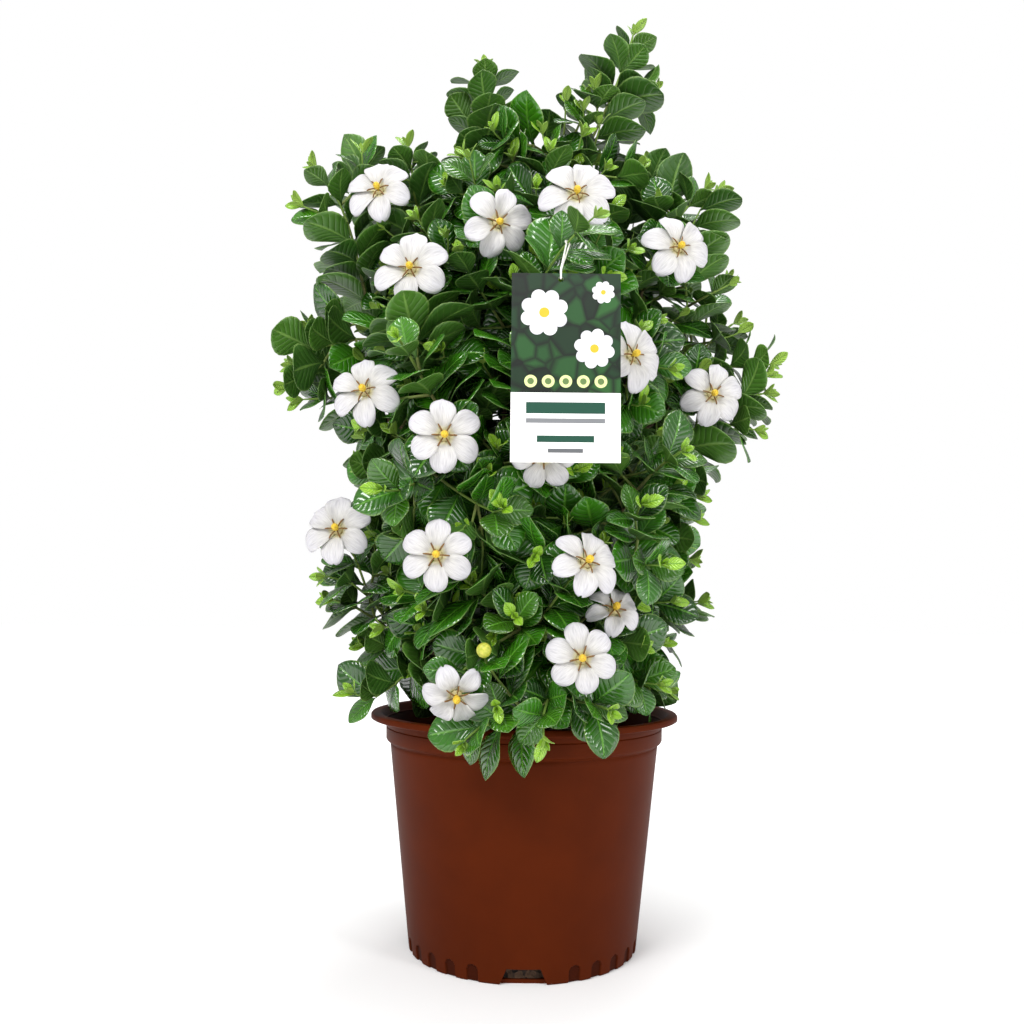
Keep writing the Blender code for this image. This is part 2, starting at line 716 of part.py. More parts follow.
wall_slope = (0.1195 - FOOT_RADIUS) / COLLAR_BOTTOM
floor_top = 0.0030
inner_foot = FOOT_RADIUS + wall_slope * floor_top - WALL
inner_top = 0.1195 - WALL
pot = turned(
    "pot",
    [
        (0.0, 0.0),
        (FOOT_RADIUS - 0.0020, 0.0),
        (FOOT_RADIUS, 0.0018),
        (0.1190, COLLAR_BOTTOM - 0.0010),
        (COLLAR_RADIUS - 0.0006, COLLAR_BOTTOM + 0.0012),
        (COLLAR_RADIUS + 0.0004, POT_HEIGHT - 0.0060),
        (LIP_RADIUS - 0.0010, POT_HEIGHT - 0.0052),
        (LIP_RADIUS, POT_HEIGHT - 0.0044),
        (LIP_RADIUS, POT_HEIGHT - 0.0014),
        (LIP_RADIUS - 0.0020, POT_HEIGHT),
        (LIP_INNER_RADIUS, POT_HEIGHT),
        (COLLAR_RADIUS - WALL + 0.0004, POT_HEIGHT - 0.0042),
        (COLLAR_RADIUS - WALL - 0.0008, COLLAR_BOTTOM + 0.0020),
        (inner_top - 0.0005, COLLAR_BOTTOM - 0.0030),
        (inner_foot, floor_top),
        (0.0, floor_top),
    ],
    60,
    POT_PLASTIC,
)


def cutter(name, verts, faces):
    made = add_object(name, verts, faces, [])
    made.hide_render = True
    made.display_type = "WIRE"
    return made


def radial_prism(outline, turn, near, far):
    """A prism that runs outward at the angle turn; outline holds (across, z) points."""
    out = Vector((math.cos(turn), math.sin(turn), 0))
    across = Vector((-math.sin(turn), math.cos(turn), 0))
    verts = [out * reach + across * a + Vector((0, 0, b)) for reach in (near, far) for a, b in outline]
    count = len(outline)
    faces = [tuple(reversed(range(count))), tuple(range(count, 2 * count))]
    for i in range(count):
        j = (i + 1) % count
        faces.append((i, j, count + j, count + i))
    return verts, faces


# Arched flutes round the foot, and four wide notches that drain the pot.
flute = [(-0.0048, -0.004), (0.0048, -0.004), (0.0048, 0.0095)]
flute += [(0.0024, FLUTE_HEIGHT), (-0.0024, FLUTE_HEIGHT), (-0.0048, 0.0095)]
cut_verts = []
cut_faces = []
for step in range(30):
    turn = math.radians(12 * step + 6 * 0 - 90)
    if step in (29, 0, 1, 7, 8, 14, 15, 16, 22, 23):
        continue
    verts, faces = radial_prism(flute, turn, FOOT_RADIUS - FLUTE_DEPTH, FOOT_RADIUS + 0.01)
    cut_faces += [tuple(i + len(cut_verts) for i in face) for face in faces]
    cut_verts += verts
notch = [(-0.0205, -0.004), (0.0205, -0.004), (0.0135, NOTCH_HEIGHT), (-0.0135, NOTCH_HEIGHT)]
for quarter in range(4):
    turn = math.radians(90 * quarter - 90)
    verts, faces = radial_prism(notch, turn, FOOT_RADIUS - 0.0060, FOOT_RADIUS + 0.01)
    cut_faces += [tuple(i + len(cut_verts) for i in face) for face in faces]
    cut_verts += verts
foot_cutter = cutter("foot_cutter", cut_verts, cut_faces)
carve = pot.modifiers.new("foot", "BOOLEAN")
carve.operation = "DIFFERENCE"
carve.solver = "EXACT"
carve.object = foot_cutter

# ------------------------------------------------------------------------ soil
soil_foot = inner_foot - 0.0058
soil_top_radius = inner_top - 0.0012
turned(
    "soil",
    [
        (0.0, floor_top + GAP),
        (soil_foot, floor_top + GAP),
        (soil_foot + 0.0006, floor_top + 0.016),
        (soil_foot + 0.0058, floor_top + 0.018),
        (soil_top_radius, SOIL_TOP - 0.0050),
        (soil_top_radius - 0.0060, SOIL_TOP - 0.0010),
        (0.0400, SOIL_TOP),
        (0.0, SOIL_TOP),
    ],
    30,
    SOIL,
)

# ----------------------------------------------------------------- woody limbs
crown_verts, crown_faces = tube_mesh(
    [Vector((0.001, 0.001, SOIL_TOP + GAP)), Vector((0.001, 0.001, SOIL_TOP + 0.010))],
    [0.0195, 0.0150],
    12,
)
wood = add_object("woody_stems", crown_verts, crown_faces, [BARK])
limb_verts = []
limb_faces = []
for points, radii in limbs:
    verts, faces = tube_mesh(points, radii, 6)
    limb_faces += [tuple(i + len(limb_verts) for i in face) for face in faces]
    limb_verts += verts
limb_guide = cutter("limb_guide", limb_verts, limb_faces)
join = wood.modifiers.new("limbs", "BOOLEAN")
join.operation = "UNION"
join.solver = "EXACT"
join.use_self = True
join.object = limb_guide

# ---------------------------------------------------------------- leafy shoots


class Body:
    """Vertices and faces of one closed body, with a slot for each face."""

    def __init__(self):
        self.verts = []
        self.faces = []
        self.slots = []

    def vert(self, place):
        self.verts.append(place)
        return len(self.verts) - 1

    def face(self, corners, slot):
        self.faces.append(corners)
        self.slots.append(slot)

    def ring(self, centre, frame, radius):
        e1, e2 = frame
        share = radius * STEM_SHARE
        signs = ((1, 1), (-1, 1), (-1, -1), (1, -1))
        return [self.vert(centre + (e1 * a + e2 * b) * share) for a, b in signs]

    def sleeve(self, low, high, slot, sides=range(4)):
        for k in sides:
            j = (k + 1) % 4
            self.face((low[k], low[j], high[j], high[k]), slot)


def add_leaf(body, corners, leaf):
    """A leaf that grows out of the four-cornered opening in the stem."""
    base, aim, normal, length, width, age = leaf
    side = normal.cross(aim)
    middle = base + aim * length * 0.55 + normal * length * 0.05
    end = base + aim * length - normal * length * 0.03
    low = body.vert(middle - normal * LEAF_THICKNESS / 2)
    right = body.vert(middle + side * width / 2 - normal * 0.0004)
    high = body.vert(middle + normal * LEAF_THICKNESS / 2)
    left = body.vert(middle - side * width / 2 - normal * 0.0004)
    q = body.vert(end + side * width * 0.24)
    p = body.vert(end - side * width * 0.24)
    ring = [low, right, high, left]
    body.sleeve(corners, ring, 1)
    for corner in ((low, right, q), (right, high, q), (high, p, q), (high, left, p), (left, low, p), (low, q, p)):
        body.face(corner, 1)


def add_stem(body, twig, start_ring):
    """The twig's square stem, with its leaves and side twigs on the node sides."""
    slot = 0
    below = start_ring
    last = len(twig.points) - 1
    for i in range(0 if below is None else 1, last + 1):
        centre = twig.points[i]
        way = twig.ways[i]
        radius = twig.radii[i]
        grown = {side: twig.grown[(i, side)] for side in range(4) if (i, side) in twig.grown}
        if not grown and i % 2 and i < last:
            continue
        if not grown or i == 0:
            above = body.ring(centre, twig.frames[i], radius)
            if below is None:
                body.face(tuple(reversed(above)), slot)
            else:
                body.sleeve(below, above, slot)
            below = above
            continue
        low = body.ring(centre - way * 0.0014, twig.frames[i], radius)
        high = body.ring(centre + way * 0.0014, twig.frames[i], radius)
        body.sleeve(below, low, slot)
        for side in range(4):
            j = (side + 1) % 4
            corners = [low[side], low[j], high[j], high[side]]
            if side not in grown:
                body.face(tuple(corners), slot)
            elif isinstance(grown[side], Twig):
                add_stem(body, grown[side], corners)
            else:
                add_leaf(body, corners, grown[side])
        below = high
    if twig.flower is None:
        tip = body.vert(twig.points[last] + twig.ways[last] * 0.004)
        for k in range(4):
            body.face((below[k], below[(k + 1) % 4], tip), 1)
    else:
        body.face(tuple(below), slot)


children = {id(child) for twig in twigs for child in twig.grown.values() if isinstance(child, Twig)}
for twig in twigs:
    if id(twig) in children:
        continue
    body = Body()
    add_stem(body, twig, None)
    add_object("shoot_%02d" % (twig.shoot + 1), body.verts, body.faces, [GREEN_STEM, LEAF], body.slots)

# --------------------------------------------------------------------- flowers


def corolla(number, centre, facing, radius):
    """Six spreading petals on a narrow tube, as one thin closed body."""
    axis, across, up = flower_frame(facing)
    twist = rng.uniform(0, math.pi / 3)
    cup = rng.uniform(-0.0005, 0.0025)

    def at(reach, turn, height, sideways=0.0):
        turn += twist
        x = reach * math.cos(turn) - sideways * math.sin(turn)
        y = reach * math.sin(turn) + sideways * math.cos(turn)
        return Vector(centre) + across * x + up * y + axis * height

    verts = [at(0, 0, -0.0012)]
    faces = []
    sixth = math.pi / 3
    valleys = [len(verts) + k for k in range(6)]
    verts += [at(0.0042, (k - 0.5) * sixth, 0.0) for k in range(6)]
    necks = [len(verts) + k for k in range(6)]
    verts += [at(0.0024, (k - 0.5) * sixth, -0.0035) for k in range(6)]
    feet = [len(verts) + k for k in range(6)]
    verts += [at(0.0016, (k - 0.5) * sixth, -TUBE_LENGTH) for k in range(6)]
    for k in range(6):
        turn = k * sixth
        start = len(verts)
        wide = radius * 0.235
        broad = radius * 0.27
        verts += [
            at(radius * 0.48, turn, 0.0008, -wide),
            at(radius * 0.82, turn, cup, -broad),
            at(radius, turn, cup - 0.0008),
            at(radius * 0.82, turn, cup, broad),
            at(radius * 0.48, turn, 0.0008, wide),
            at(radius * 0.55, turn, 0.0008 + cup / 2 + 0.0004),
            at(radius * 0.55, turn, 0.0008 + cup / 2 - 0.0004),
        ]
        v0 = valleys[k]
        v1 = valleys[(k + 1) % 6]
        rim = [v0, start, start + 1, start + 2, start + 3, start + 4, v1]
        top = start + 5
        under = start + 6
        for a, b in zip(rim, rim[1:]):
            faces.append((a, b, top))
            faces.append((b, a, under))
        faces.append((0, v0, top))
        faces.append((0, top, v1))
        n0 = necks[k]
        n1 = necks[(k + 1) % 6]
        faces.append((v0, n0, under))
        faces.append((n0, n1, under))
        faces.append((n1, v1, under))
        faces.append((n0, feet[k], feet[(k + 1) % 6], n1))
    faces.append(tuple(reversed(feet)))
    add_object("corolla_%02d" % number, verts, faces, [PETAL])

    # The yellow stigma club, with six stamens that lie over the gaps between the petals.
    lift = -0.0012 + GAP + 0.0002
    club = [at(0, 0, 0.0085)]
    crown = [len(club) + k for k in range(6)]
    club += [at(0.0021, (k + 0.0) * sixth, 0.0055) for k in range(6)]
    inner = [len(club) + k for k in range(6)]
    club += [at(0.0018, (k + 0.0) * sixth, 0.0030) for k in range(6)]
    points = [len(club) + k for k in range(6)]
    club += [at(0.0105, (k + 0.5) * sixth, 0.0032) for k in range(6)]
    root = [len(club) + k for k in range(6)]
    club += [at(0.0009, (k + 0.0) * sixth, lift + 0.0004) for k in range(6)]
    parts = []
    for k in range(6):
        j = (k + 1) % 6
        parts.append((crown[k], crown[j], 0))
        parts.append((crown[k], inner[k], points[k]))
        parts.append((crown[k], points[k], crown[j]))
        parts.append((crown[j], points[k], inner[j]))
        parts.append((root[k], points[k], inner[k]))
        parts.append((root[k], root[j], points[k]))
        parts.append((root[j], inner[j], points[k]))
    parts.append(tuple(reversed(root)))
    add_object("stigma_%02d" % number, club, parts, [STIGMA])


for number, (centre, facing, radius) in enumerate(FLOWERS):
    corolla(number + 1, centre, facing, radius)

# ------------------------------------------------------------------------- tag
tag_x, tag_y, tag_z = TAG_CENTRE
width, thickness, height = TAG_SIZE
tag_points, tag_faces = box_shape(
    (tag_x - width / 2, tag_y - thickness / 2, tag_z - height / 2),
    (tag_x + width / 2, tag_y + thickness / 2, tag_z + height / 2),
)
tag = add_object("tag_card", tag_points, tag_faces, [CARD])
drill_verts, drill_faces = tube_mesh(
    [hole - Vector((0, 0.01, 0)), hole + Vector((0, 0.01, 0))], [TAG_HOLE_RADIUS] * 2, 16
)
drill = cutter("tag_drill", drill_verts, drill_faces)
punch = tag.modifiers.new("hole", "BOOLEAN")
punch.operation = "DIFFERENCE"
punch.solver = "EXACT"
punch.object = drill

string_verts, string_faces = closed_tube(string_places, STRING_RADIUS, 6)
add_object("tag_string", string_verts, string_faces, [STRING])

# ------------------------------------------------------------------------- bud
bpy.ops.mesh.primitive_ico_sphere_add(subdivisions=2, radius=BUD_RADIUS)
bud = bpy.context.object
bud.name = "flower_bud"
bud.location = bud_centre
bud.rotation_euler = bud_facing.to_track_quat("Z", "Y").to_euler()
bud.data.transform(Matrix.Diagonal((1.0, 1.0, 1.25, 1.0)))
bud.data.materials.append(BUD)
bud.data.shade_smooth()
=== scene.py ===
"""A potted gardenia: pot, potting mix, woody limbs, leafy shoots, flowers, a bud and a care tag.

Everything is in metres. The origin is on the pot's axis at the bottom of its foot, +Z is up and the
front of the plant faces -Y.
"""

import json
import math
import random
from functools import partial

import bpy
import numpy as np
from mathutils import Matrix, Vector
from mathutils.bvhtree import BVHTree

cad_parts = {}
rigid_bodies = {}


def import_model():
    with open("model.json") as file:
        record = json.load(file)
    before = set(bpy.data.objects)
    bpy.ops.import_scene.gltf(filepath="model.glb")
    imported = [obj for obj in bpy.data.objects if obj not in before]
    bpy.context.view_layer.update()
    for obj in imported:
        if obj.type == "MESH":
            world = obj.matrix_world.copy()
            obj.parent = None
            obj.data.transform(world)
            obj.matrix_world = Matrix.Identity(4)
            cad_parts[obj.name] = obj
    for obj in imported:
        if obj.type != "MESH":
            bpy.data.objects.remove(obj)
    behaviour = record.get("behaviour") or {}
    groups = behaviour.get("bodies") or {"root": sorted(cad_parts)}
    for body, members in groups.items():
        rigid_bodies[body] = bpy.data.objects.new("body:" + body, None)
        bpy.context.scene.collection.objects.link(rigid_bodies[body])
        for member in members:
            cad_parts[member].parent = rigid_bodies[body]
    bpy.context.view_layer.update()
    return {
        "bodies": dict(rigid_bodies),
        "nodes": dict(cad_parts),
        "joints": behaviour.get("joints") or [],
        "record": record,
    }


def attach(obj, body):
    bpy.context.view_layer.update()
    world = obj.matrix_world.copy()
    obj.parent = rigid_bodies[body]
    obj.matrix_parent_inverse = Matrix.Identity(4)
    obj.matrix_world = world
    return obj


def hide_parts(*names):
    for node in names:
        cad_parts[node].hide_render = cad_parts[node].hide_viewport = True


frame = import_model()

# ------------------------------------------------------------------ nursery pot
# A two-gallon nursery pot, moulded from thin reddish-brown polypropylene. A rolled lip stands out from
# its collar, and shallow arched flutes and four drain notches run round its foot.
POT_HEIGHT = 0.2027
LIP_RADIUS = 0.1365
LIP_INNER_RADIUS = 0.1273
COLLAR_RADIUS = 0.1228
COLLAR_BOTTOM = 0.1780
SHOULDER_RADIUS = 0.1190
SHOULDER = COLLAR_BOTTOM - 0.0030
FOOT_RADIUS = 0.0997
WALL = 0.0016
POT_FLOOR = 0.0030
FLUTE_HEIGHT = 0.0135
FLUTE_HALF_WIDTH = 0.0046
FLUTE_DEPTH = 0.0014
FLUTE_DEGREES = 12
NOTCH_HEIGHT = 0.0130
POT_SIDES = 720
# Moulding leaves faint clouds of tone about 30 mm wide, and a fine orange peel. The peel of 0.5 mm is
# drawn at 1.2 mm, so that it shows.
CLOUD = 0.030
ORANGE_PEEL = 0.0012


def linear(code):
    """An sRGB hex colour as linear RGBA."""
    parts = [int(code[i : i + 2], 16) / 255 for i in (1, 3, 5)]
    return (*[c / 12.92 if c <= 0.04045 else ((c + 0.055) / 1.055) ** 2.4 for c in parts], 1.0)


def feed(node, inputs):
    """Sets a node's inputs: each takes a value, a hex colour or another node's output."""
    for key, value in inputs.items() if isinstance(inputs, dict) else enumerate(inputs):
        if isinstance(value, bpy.types.NodeSocket):
            node.id_data.links.new(value, node.inputs[key])
        else:
            node.inputs[key].default_value = linear(value) if isinstance(value, str) else value


def add_node(tree, kind, inputs=(), out=0, stops=(), **settings):
    """Adds a shader node with its settings, inputs and ramp stops, and gives one of its outputs."""
    node = tree.nodes.new("ShaderNode" + kind)
    for key, value in settings.items():
        setattr(node, key, value)
    feed(node, inputs)
    while stops and len(node.color_ramp.elements) < len(stops):
        node.color_ramp.elements.new(0.5)
    for number, (place, code) in enumerate(stops):
        node.color_ramp.elements[number].position = place
        node.color_ramp.elements[number].color = linear(code)
    return node.outputs[out]


def new_material(name, colour, roughness):
    """A material with its Principled shader, and a function that adds nodes to it."""
    made = bpy.data.materials.new(name)
    made.use_nodes = True
    shader = made.node_tree.nodes["Principled BSDF"]
    feed(shader, {"Base Color": colour, "Roughness": roughness})
    return made, shader, partial(add_node, made.node_tree)


def sleeve_faces(rows, sides, start=0):
    """Four-cornered faces between each ring of vertices and the next."""
    faces = []
    for i in range(rows - 1):
        for k in range(sides):
            a = start + i * sides + k
            b = start + i * sides + (k + 1) % sides
            faces.append((a, b, b + sides, a + sides))
    return faces


def mesh_piece(name, node, slot, verts, faces, materials, attributes=(), uvs=(), skins=()):
    """A smooth piece that rides on the plant's body, replaces a node and takes its materials; slot is not
    used.
    """
    mesh = bpy.data.meshes.new(name)
    mesh.from_pydata([tuple(v) for v in verts], [], faces)
    for one in materials:
        mesh.materials.append(one)
    if skins:
        mesh.polygons.foreach_set("material_index", skins)
    for key, values in dict(attributes).items():
        mesh.attributes.new(key, "FLOAT", "POINT").data.foreach_set("value", values)
    if uvs:
        corners = np.empty(len(mesh.loops), dtype=np.int32)
        mesh.loops.foreach_get("vertex_index", corners)
        places = np.asarray(uvs, dtype=np.float32)[corners]
        mesh.uv_layers.new(name="blade").data.foreach_set("uv", places.ravel())
    mesh.shade_smooth()
    mesh.update()
    made = bpy.data.objects.new(name, mesh)
    bpy.context.scene.collection.objects.link(made)
    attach(made, "root")
    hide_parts(node)
    return made


# Polypropylene as it leaves the mould: satin, with hardly any highlight.
POT_PLASTIC, shader, add = new_material("pot_polypropylene", "#4c1b04", 0.50)
metres = add("TexCoord", out="Object")
clouds = add("TexNoise", {"Vector": metres, "Scale": 1 / CLOUD, "Detail": 3.0})
plastic = add("ValToRGB", (clouds,), stops=((0.3, "#4a1a05"), (0.7, "#4f1c05")))
# The flutes are painted darker: painted shade in their hollows.
flute_painted_shade = add("Math", (add("Attribute", (), "Fac", attribute_name="flute"), 0.55), operation="MULTIPLY")
peel = add("TexNoise", {"Vector": metres, "Scale": 1 / ORANGE_PEEL, "Detail": 2.0})
feed(
    shader,
    {
        "Base Color": add("Mix", {0: flute_painted_shade, 6: plastic, 7: "#1c0704"}, 2, data_type="RGBA"),
        "Specular IOR Level": 0.04,
        "Normal": add("Bump", {"Strength": 0.08, "Distance": 0.0003, "Height": peel}),
    },
)


def in_flute(turn, height):
    """True inside an arched flute; the front drain notch takes the place of three flutes."""
    degrees = math.degrees(turn)
    off = abs((degrees + (90 + FLUTE_DEGREES / 2)) % FLUTE_DEGREES - FLUTE_DEGREES / 2)
    across = off / 360 * 2 * math.pi * FOOT_RADIUS
    if across >= FLUTE_HALF_WIDTH or round((degrees + 90) / FLUTE_DEGREES) % 30 in (29, 0, 1):
        return False
    return height < FLUTE_HEIGHT - FLUTE_HALF_WIDTH + math.sqrt(FLUTE_HALF_WIDTH**2 - across**2)


# The outline runs from the foot up the outside, over the lip and down the inside to the floor.
slope = (SHOULDER_RADIUS - FOOT_RADIUS) / SHOULDER
wall_heights = [0.0012 + 0.0008 * k for k in range(18)] + [0.02, 0.04, 0.07, 0.10, 0.13, 0.16, 0.172]
outline = [(FOOT_RADIUS - 0.0030, 0.0), (FOOT_RADIUS - 0.0008, 0.0002)]
outline += [(FOOT_RADIUS + slope * h, h) for h in wall_heights]
outline += [
    (SHOULDER_RADIUS, SHOULDER),
    (SHOULDER_RADIUS - 0.0004, COLLAR_BOTTOM - 0.0022),
    (SHOULDER_RADIUS, COLLAR_BOTTOM - 0.0010),
    (COLLAR_RADIUS - 0.0008, COLLAR_BOTTOM + 0.0006),
    (COLLAR_RADIUS, COLLAR_BOTTOM + 0.0020),
    (COLLAR_RADIUS + 0.0002, POT_HEIGHT - 0.0130),
    (COLLAR_RADIUS - 0.0004, POT_HEIGHT - 0.0122),
    (COLLAR_RADIUS + 0.0003, POT_HEIGHT - 0.0114),
    (COLLAR_RADIUS + 0.0006, POT_HEIGHT - 0.0070),
    (COLLAR_RADIUS + 0.0022, POT_HEIGHT - 0.0058),
    (LIP_RADIUS - 0.0010, POT_HEIGHT - 0.0052),
    (LIP_RADIUS, POT_HEIGHT - 0.0046),
    (LIP_RADIUS, POT_HEIGHT - 0.0018),
    (LIP_RADIUS - 0.0010, POT_HEIGHT - 0.0004),
    (LIP_RADIUS - 0.0025, POT_HEIGHT),
    (LIP_INNER_RADIUS + 0.0015, POT_HEIGHT),
    (LIP_INNER_RADIUS, POT_HEIGHT - 0.0008),
    (COLLAR_RADIUS - WALL + 0.0012, POT_HEIGHT - 0.0100),
    (SHOULDER_RADIUS - WALL, SHOULDER),
    (FOOT_RADIUS - WALL, POT_FLOOR),
]
verts = [Vector((0, 0, 0))]
flutes = [0.0]
for radius, height in outline:
    fluted = radius > FOOT_RADIUS - 0.0009 and height < FLUTE_HEIGHT + 0.001
    for k in range(POT_SIDES):
        turn = 2 * math.pi * k / POT_SIDES
        dent = FLUTE_DEPTH if fluted and in_flute(turn, height) else 0.0
        verts.append(Vector(((radius - dent) * math.cos(turn), (radius - dent) * math.sin(turn), height)))
        flutes.append(1.0 if dent else 0.0)
verts.append(Vector((0, 0, POT_FLOOR)))
flutes.append(0.0)
end = 1 + (len(outline) - 1) * POT_SIDES
faces = [(0, 1 + (k + 1) % POT_SIDES, 1 + k) for k in range(POT_SIDES)]
faces += sleeve_faces(len(outline), POT_SIDES, 1)
faces += [(len(verts) - 1, end + k, end + (k + 1) % POT_SIDES) for k in range(POT_SIDES)]
pot = mesh_piece("pot_shell", "pot", "pot_plastic", verts, faces, [POT_PLASTIC], {"flute": flutes})

# Four wide notches are cut through the foot, one at each quarter.
notch = [(-0.0205, -0.004), (0.0205, -0.004), (0.0135, NOTCH_HEIGHT), (-0.0135, NOTCH_HEIGHT)]
verts = []
faces = []
for quarter in range(4):
    turn = math.radians(90 * quarter - 90)
    out = Vector((math.cos(turn), math.sin(turn), 0))
    over = Vector((-math.sin(turn), math.cos(turn), 0))
    low = len(verts)
    for reach in (FOOT_RADIUS - 0.0060, FOOT_RADIUS + 0.01):
        verts += [out * reach + over * a + Vector((0, 0, b)) for a, b in notch]
    faces += [(low + 3, low + 2, low + 1, low), (low + 4, low + 5, low + 6, low + 7)]
    faces += [(low + i, low + (i + 1) % 4, low + 4 + (i + 1) % 4, low + 4 + i) for i in range(4)]
notch_mesh = bpy.data.meshes.new("notches")
notch_mesh.from_pydata([tuple(v) for v in verts], [], faces)
notches = bpy.data.objects.new("notches", notch_mesh)
bpy.context.scene.collection.objects.link(notches)
carve = pot.modifiers.new("notches", "BOOLEAN")
carve.operation = "DIFFERENCE"
carve.object = notches
carved = bpy.data.meshes.new_from_object(pot.evaluated_get(bpy.context.evaluated_depsgraph_get()))
pot.modifiers.clear()
pot.data = carved
pot.data.set_sharp_from_angle(angle=math.radians(38))
bpy.data.objects.remove(notches)

# ------------------------------------------------------------------ potting mix
# Moist bark-based potting mix, filled to a thumb's width under the lip: dark matt crumbs of about 4 mm.
SOIL_TOP = 0.1760
CRUMB = 0.004


def refinish(node, material):
    """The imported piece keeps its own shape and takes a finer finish."""
    mesh = bpy.data.objects[node].data
    mesh.materials.clear()
    mesh.materials.append(material)


POTTING_MIX, shader, add = new_material("bark_potting_mix", "#33241a", 0.95)
crumbs = {"Vector": add("TexCoord", out="Object"), "Scale": 1 / CRUMB}
crumb_tone = add("TexVoronoi", crumbs, "Color")
crumb_colour = add("ValToRGB", (crumb_tone,), stops=((0.2, "#1b120c"), (0.8, "#4f3a2a")))
crumb_height = add("TexVoronoi", crumbs, "Distance")
feed(
    shader,
    {
        "Base Color": crumb_colour,
        "Normal": add("Bump", {"Strength": 0.9, "Distance": 0.003, "Height": crumb_height}),
    },
)
refinish("soil", POTTING_MIX)

# ---------------------------------------------------------- room for the plant
# The crown fills the air over the mix, and keeps clear of the pot, of the care tag that hangs before it
# and of the face of each open flower. The tag is a card of 80 x 140 mm with a punched hole.
TAG_SIZE = (0.0800, 0.0008, 0.1400)
TAG_CENTRE = (0.0256, -0.1960, 0.4720)
# Each flower: throat centre, the way it faces, and its radius.
FLOWERS = [
    ((-0.133, -0.060, 0.661), (-0.20, -1.0, 0.25), 0.031),
    ((-0.097, -0.120, 0.570), (-0.10, -1.0, 0.15), 0.032),
    ((-0.026, -0.120, 0.609), (0.25, -1.0, -0.15), 0.029),
    ((0.037, -0.135, 0.628), (0.00, -1.0, 0.25), 0.033),
    ((0.128, -0.080, 0.604), (0.30, -1.0, 0.10), 0.032),
    ((0.081, -0.140, 0.495), (0.55, -1.0, 0.15), 0.030),
    ((0.160, -0.060, 0.481), (0.15, -1.0, 0.05), 0.029),
    ((-0.131, -0.130, 0.467), (-0.15, -1.0, 0.20), 0.029),
    ((-0.064, -0.170, 0.425), (0.10, -1.0, 0.05), 0.029),
    ((0.011, -0.155, 0.412), (-0.10, -1.0, -0.20), 0.026),
    ((-0.155, -0.100, 0.358), (-0.20, -1.0, 0.35), 0.030),
    ((-0.068, -0.175, 0.335), (0.00, -1.0, 0.10), 0.028),
    ((0.043, -0.175, 0.331), (0.40, -1.0, 0.45), 0.028),
    ((0.067, -0.140, 0.296), (0.30, -1.0, 0.60), 0.022),
    ((0.040, -0.172, 0.260), (0.00, -1.0, 0.15), 0.027),
    ((-0.052, -0.172, 0.232), (0.10, -1.0, -0.45), 0.025),
    ((-0.070, 0.150, 0.560), (-0.30, 1.0, 0.25), 0.031),
    ((0.085, 0.160, 0.400), (0.35, 1.0, 0.20), 0.030),
]
THROAT_LENGTH = 0.014


class Space:
    """Keeps what has been placed, so that the next thing can be tested against it."""

    def __init__(self, cell=0.04):
        self.cell = cell
        self.cells = {}
        self.count = 0

    def keys(self, points):
        spans = []
        for a in range(3):
            low = math.floor(min(p[a] for p in points) / self.cell)
            high = math.floor(max(p[a] for p in points) / self.cell)
            spans.append(range(low, high + 1))
        return [(i, j, k) for i in spans[0] for j in spans[1] for k in spans[2]]

    def add(self, points, faces, owner):
        tree = BVHTree.FromPolygons(points, faces)
        self.count += 1
        for key in self.keys(points):
            self.cells.setdefault(key, []).append((tree, owner, self.count))

    def hits(self, points, faces, skip=()):
        """True if the shape touches anything whose owner isn't in skip."""
        tree = BVHTree.FromPolygons(points, faces)
        seen = set()
        for key in self.keys(points):
            for other, owner, number in self.cells.get(key, ()):
                if number in seen or owner in skip:
                    continue
                seen.add(number)
                if tree.overlap(other):
                    return True
        return False


def ring_shape(profile, sides=24):
    """Vertices and faces of a turned surface, from (radius, z) points."""
    verts = []
    for radius, height in profile:
        for k in range(sides):
            turn = 2 * math.pi * k / sides
            verts.append(Vector((radius * math.cos(turn), radius * math.sin(turn), height)))
    return verts, sleeve_faces(len(profile), sides)


def flower_frame(facing):
    """The flower's axis and two directions across it."""
    axis = Vector(facing).normalized()
    across = Vector((0, 0, 1)).cross(axis).normalized()
    return axis, across, axis.cross(across)


space = Space()
pot_room = [
    (0.0, SOIL_TOP + 0.001),
    (LIP_INNER_RADIUS - 0.004, SOIL_TOP + 0.001),
    (LIP_INNER_RADIUS - 0.0015, POT_HEIGHT + 0.001),
    (LIP_RADIUS + 0.0015, POT_HEIGHT + 0.001),
    (LIP_RADIUS + 0.0015, POT_HEIGHT - 0.010),
    (COLLAR_RADIUS + 0.001, COLLAR_BOTTOM),
    (FOOT_RADIUS + 0.001, 0.0),
]
space.add(*ring_shape(pot_room), "pot")

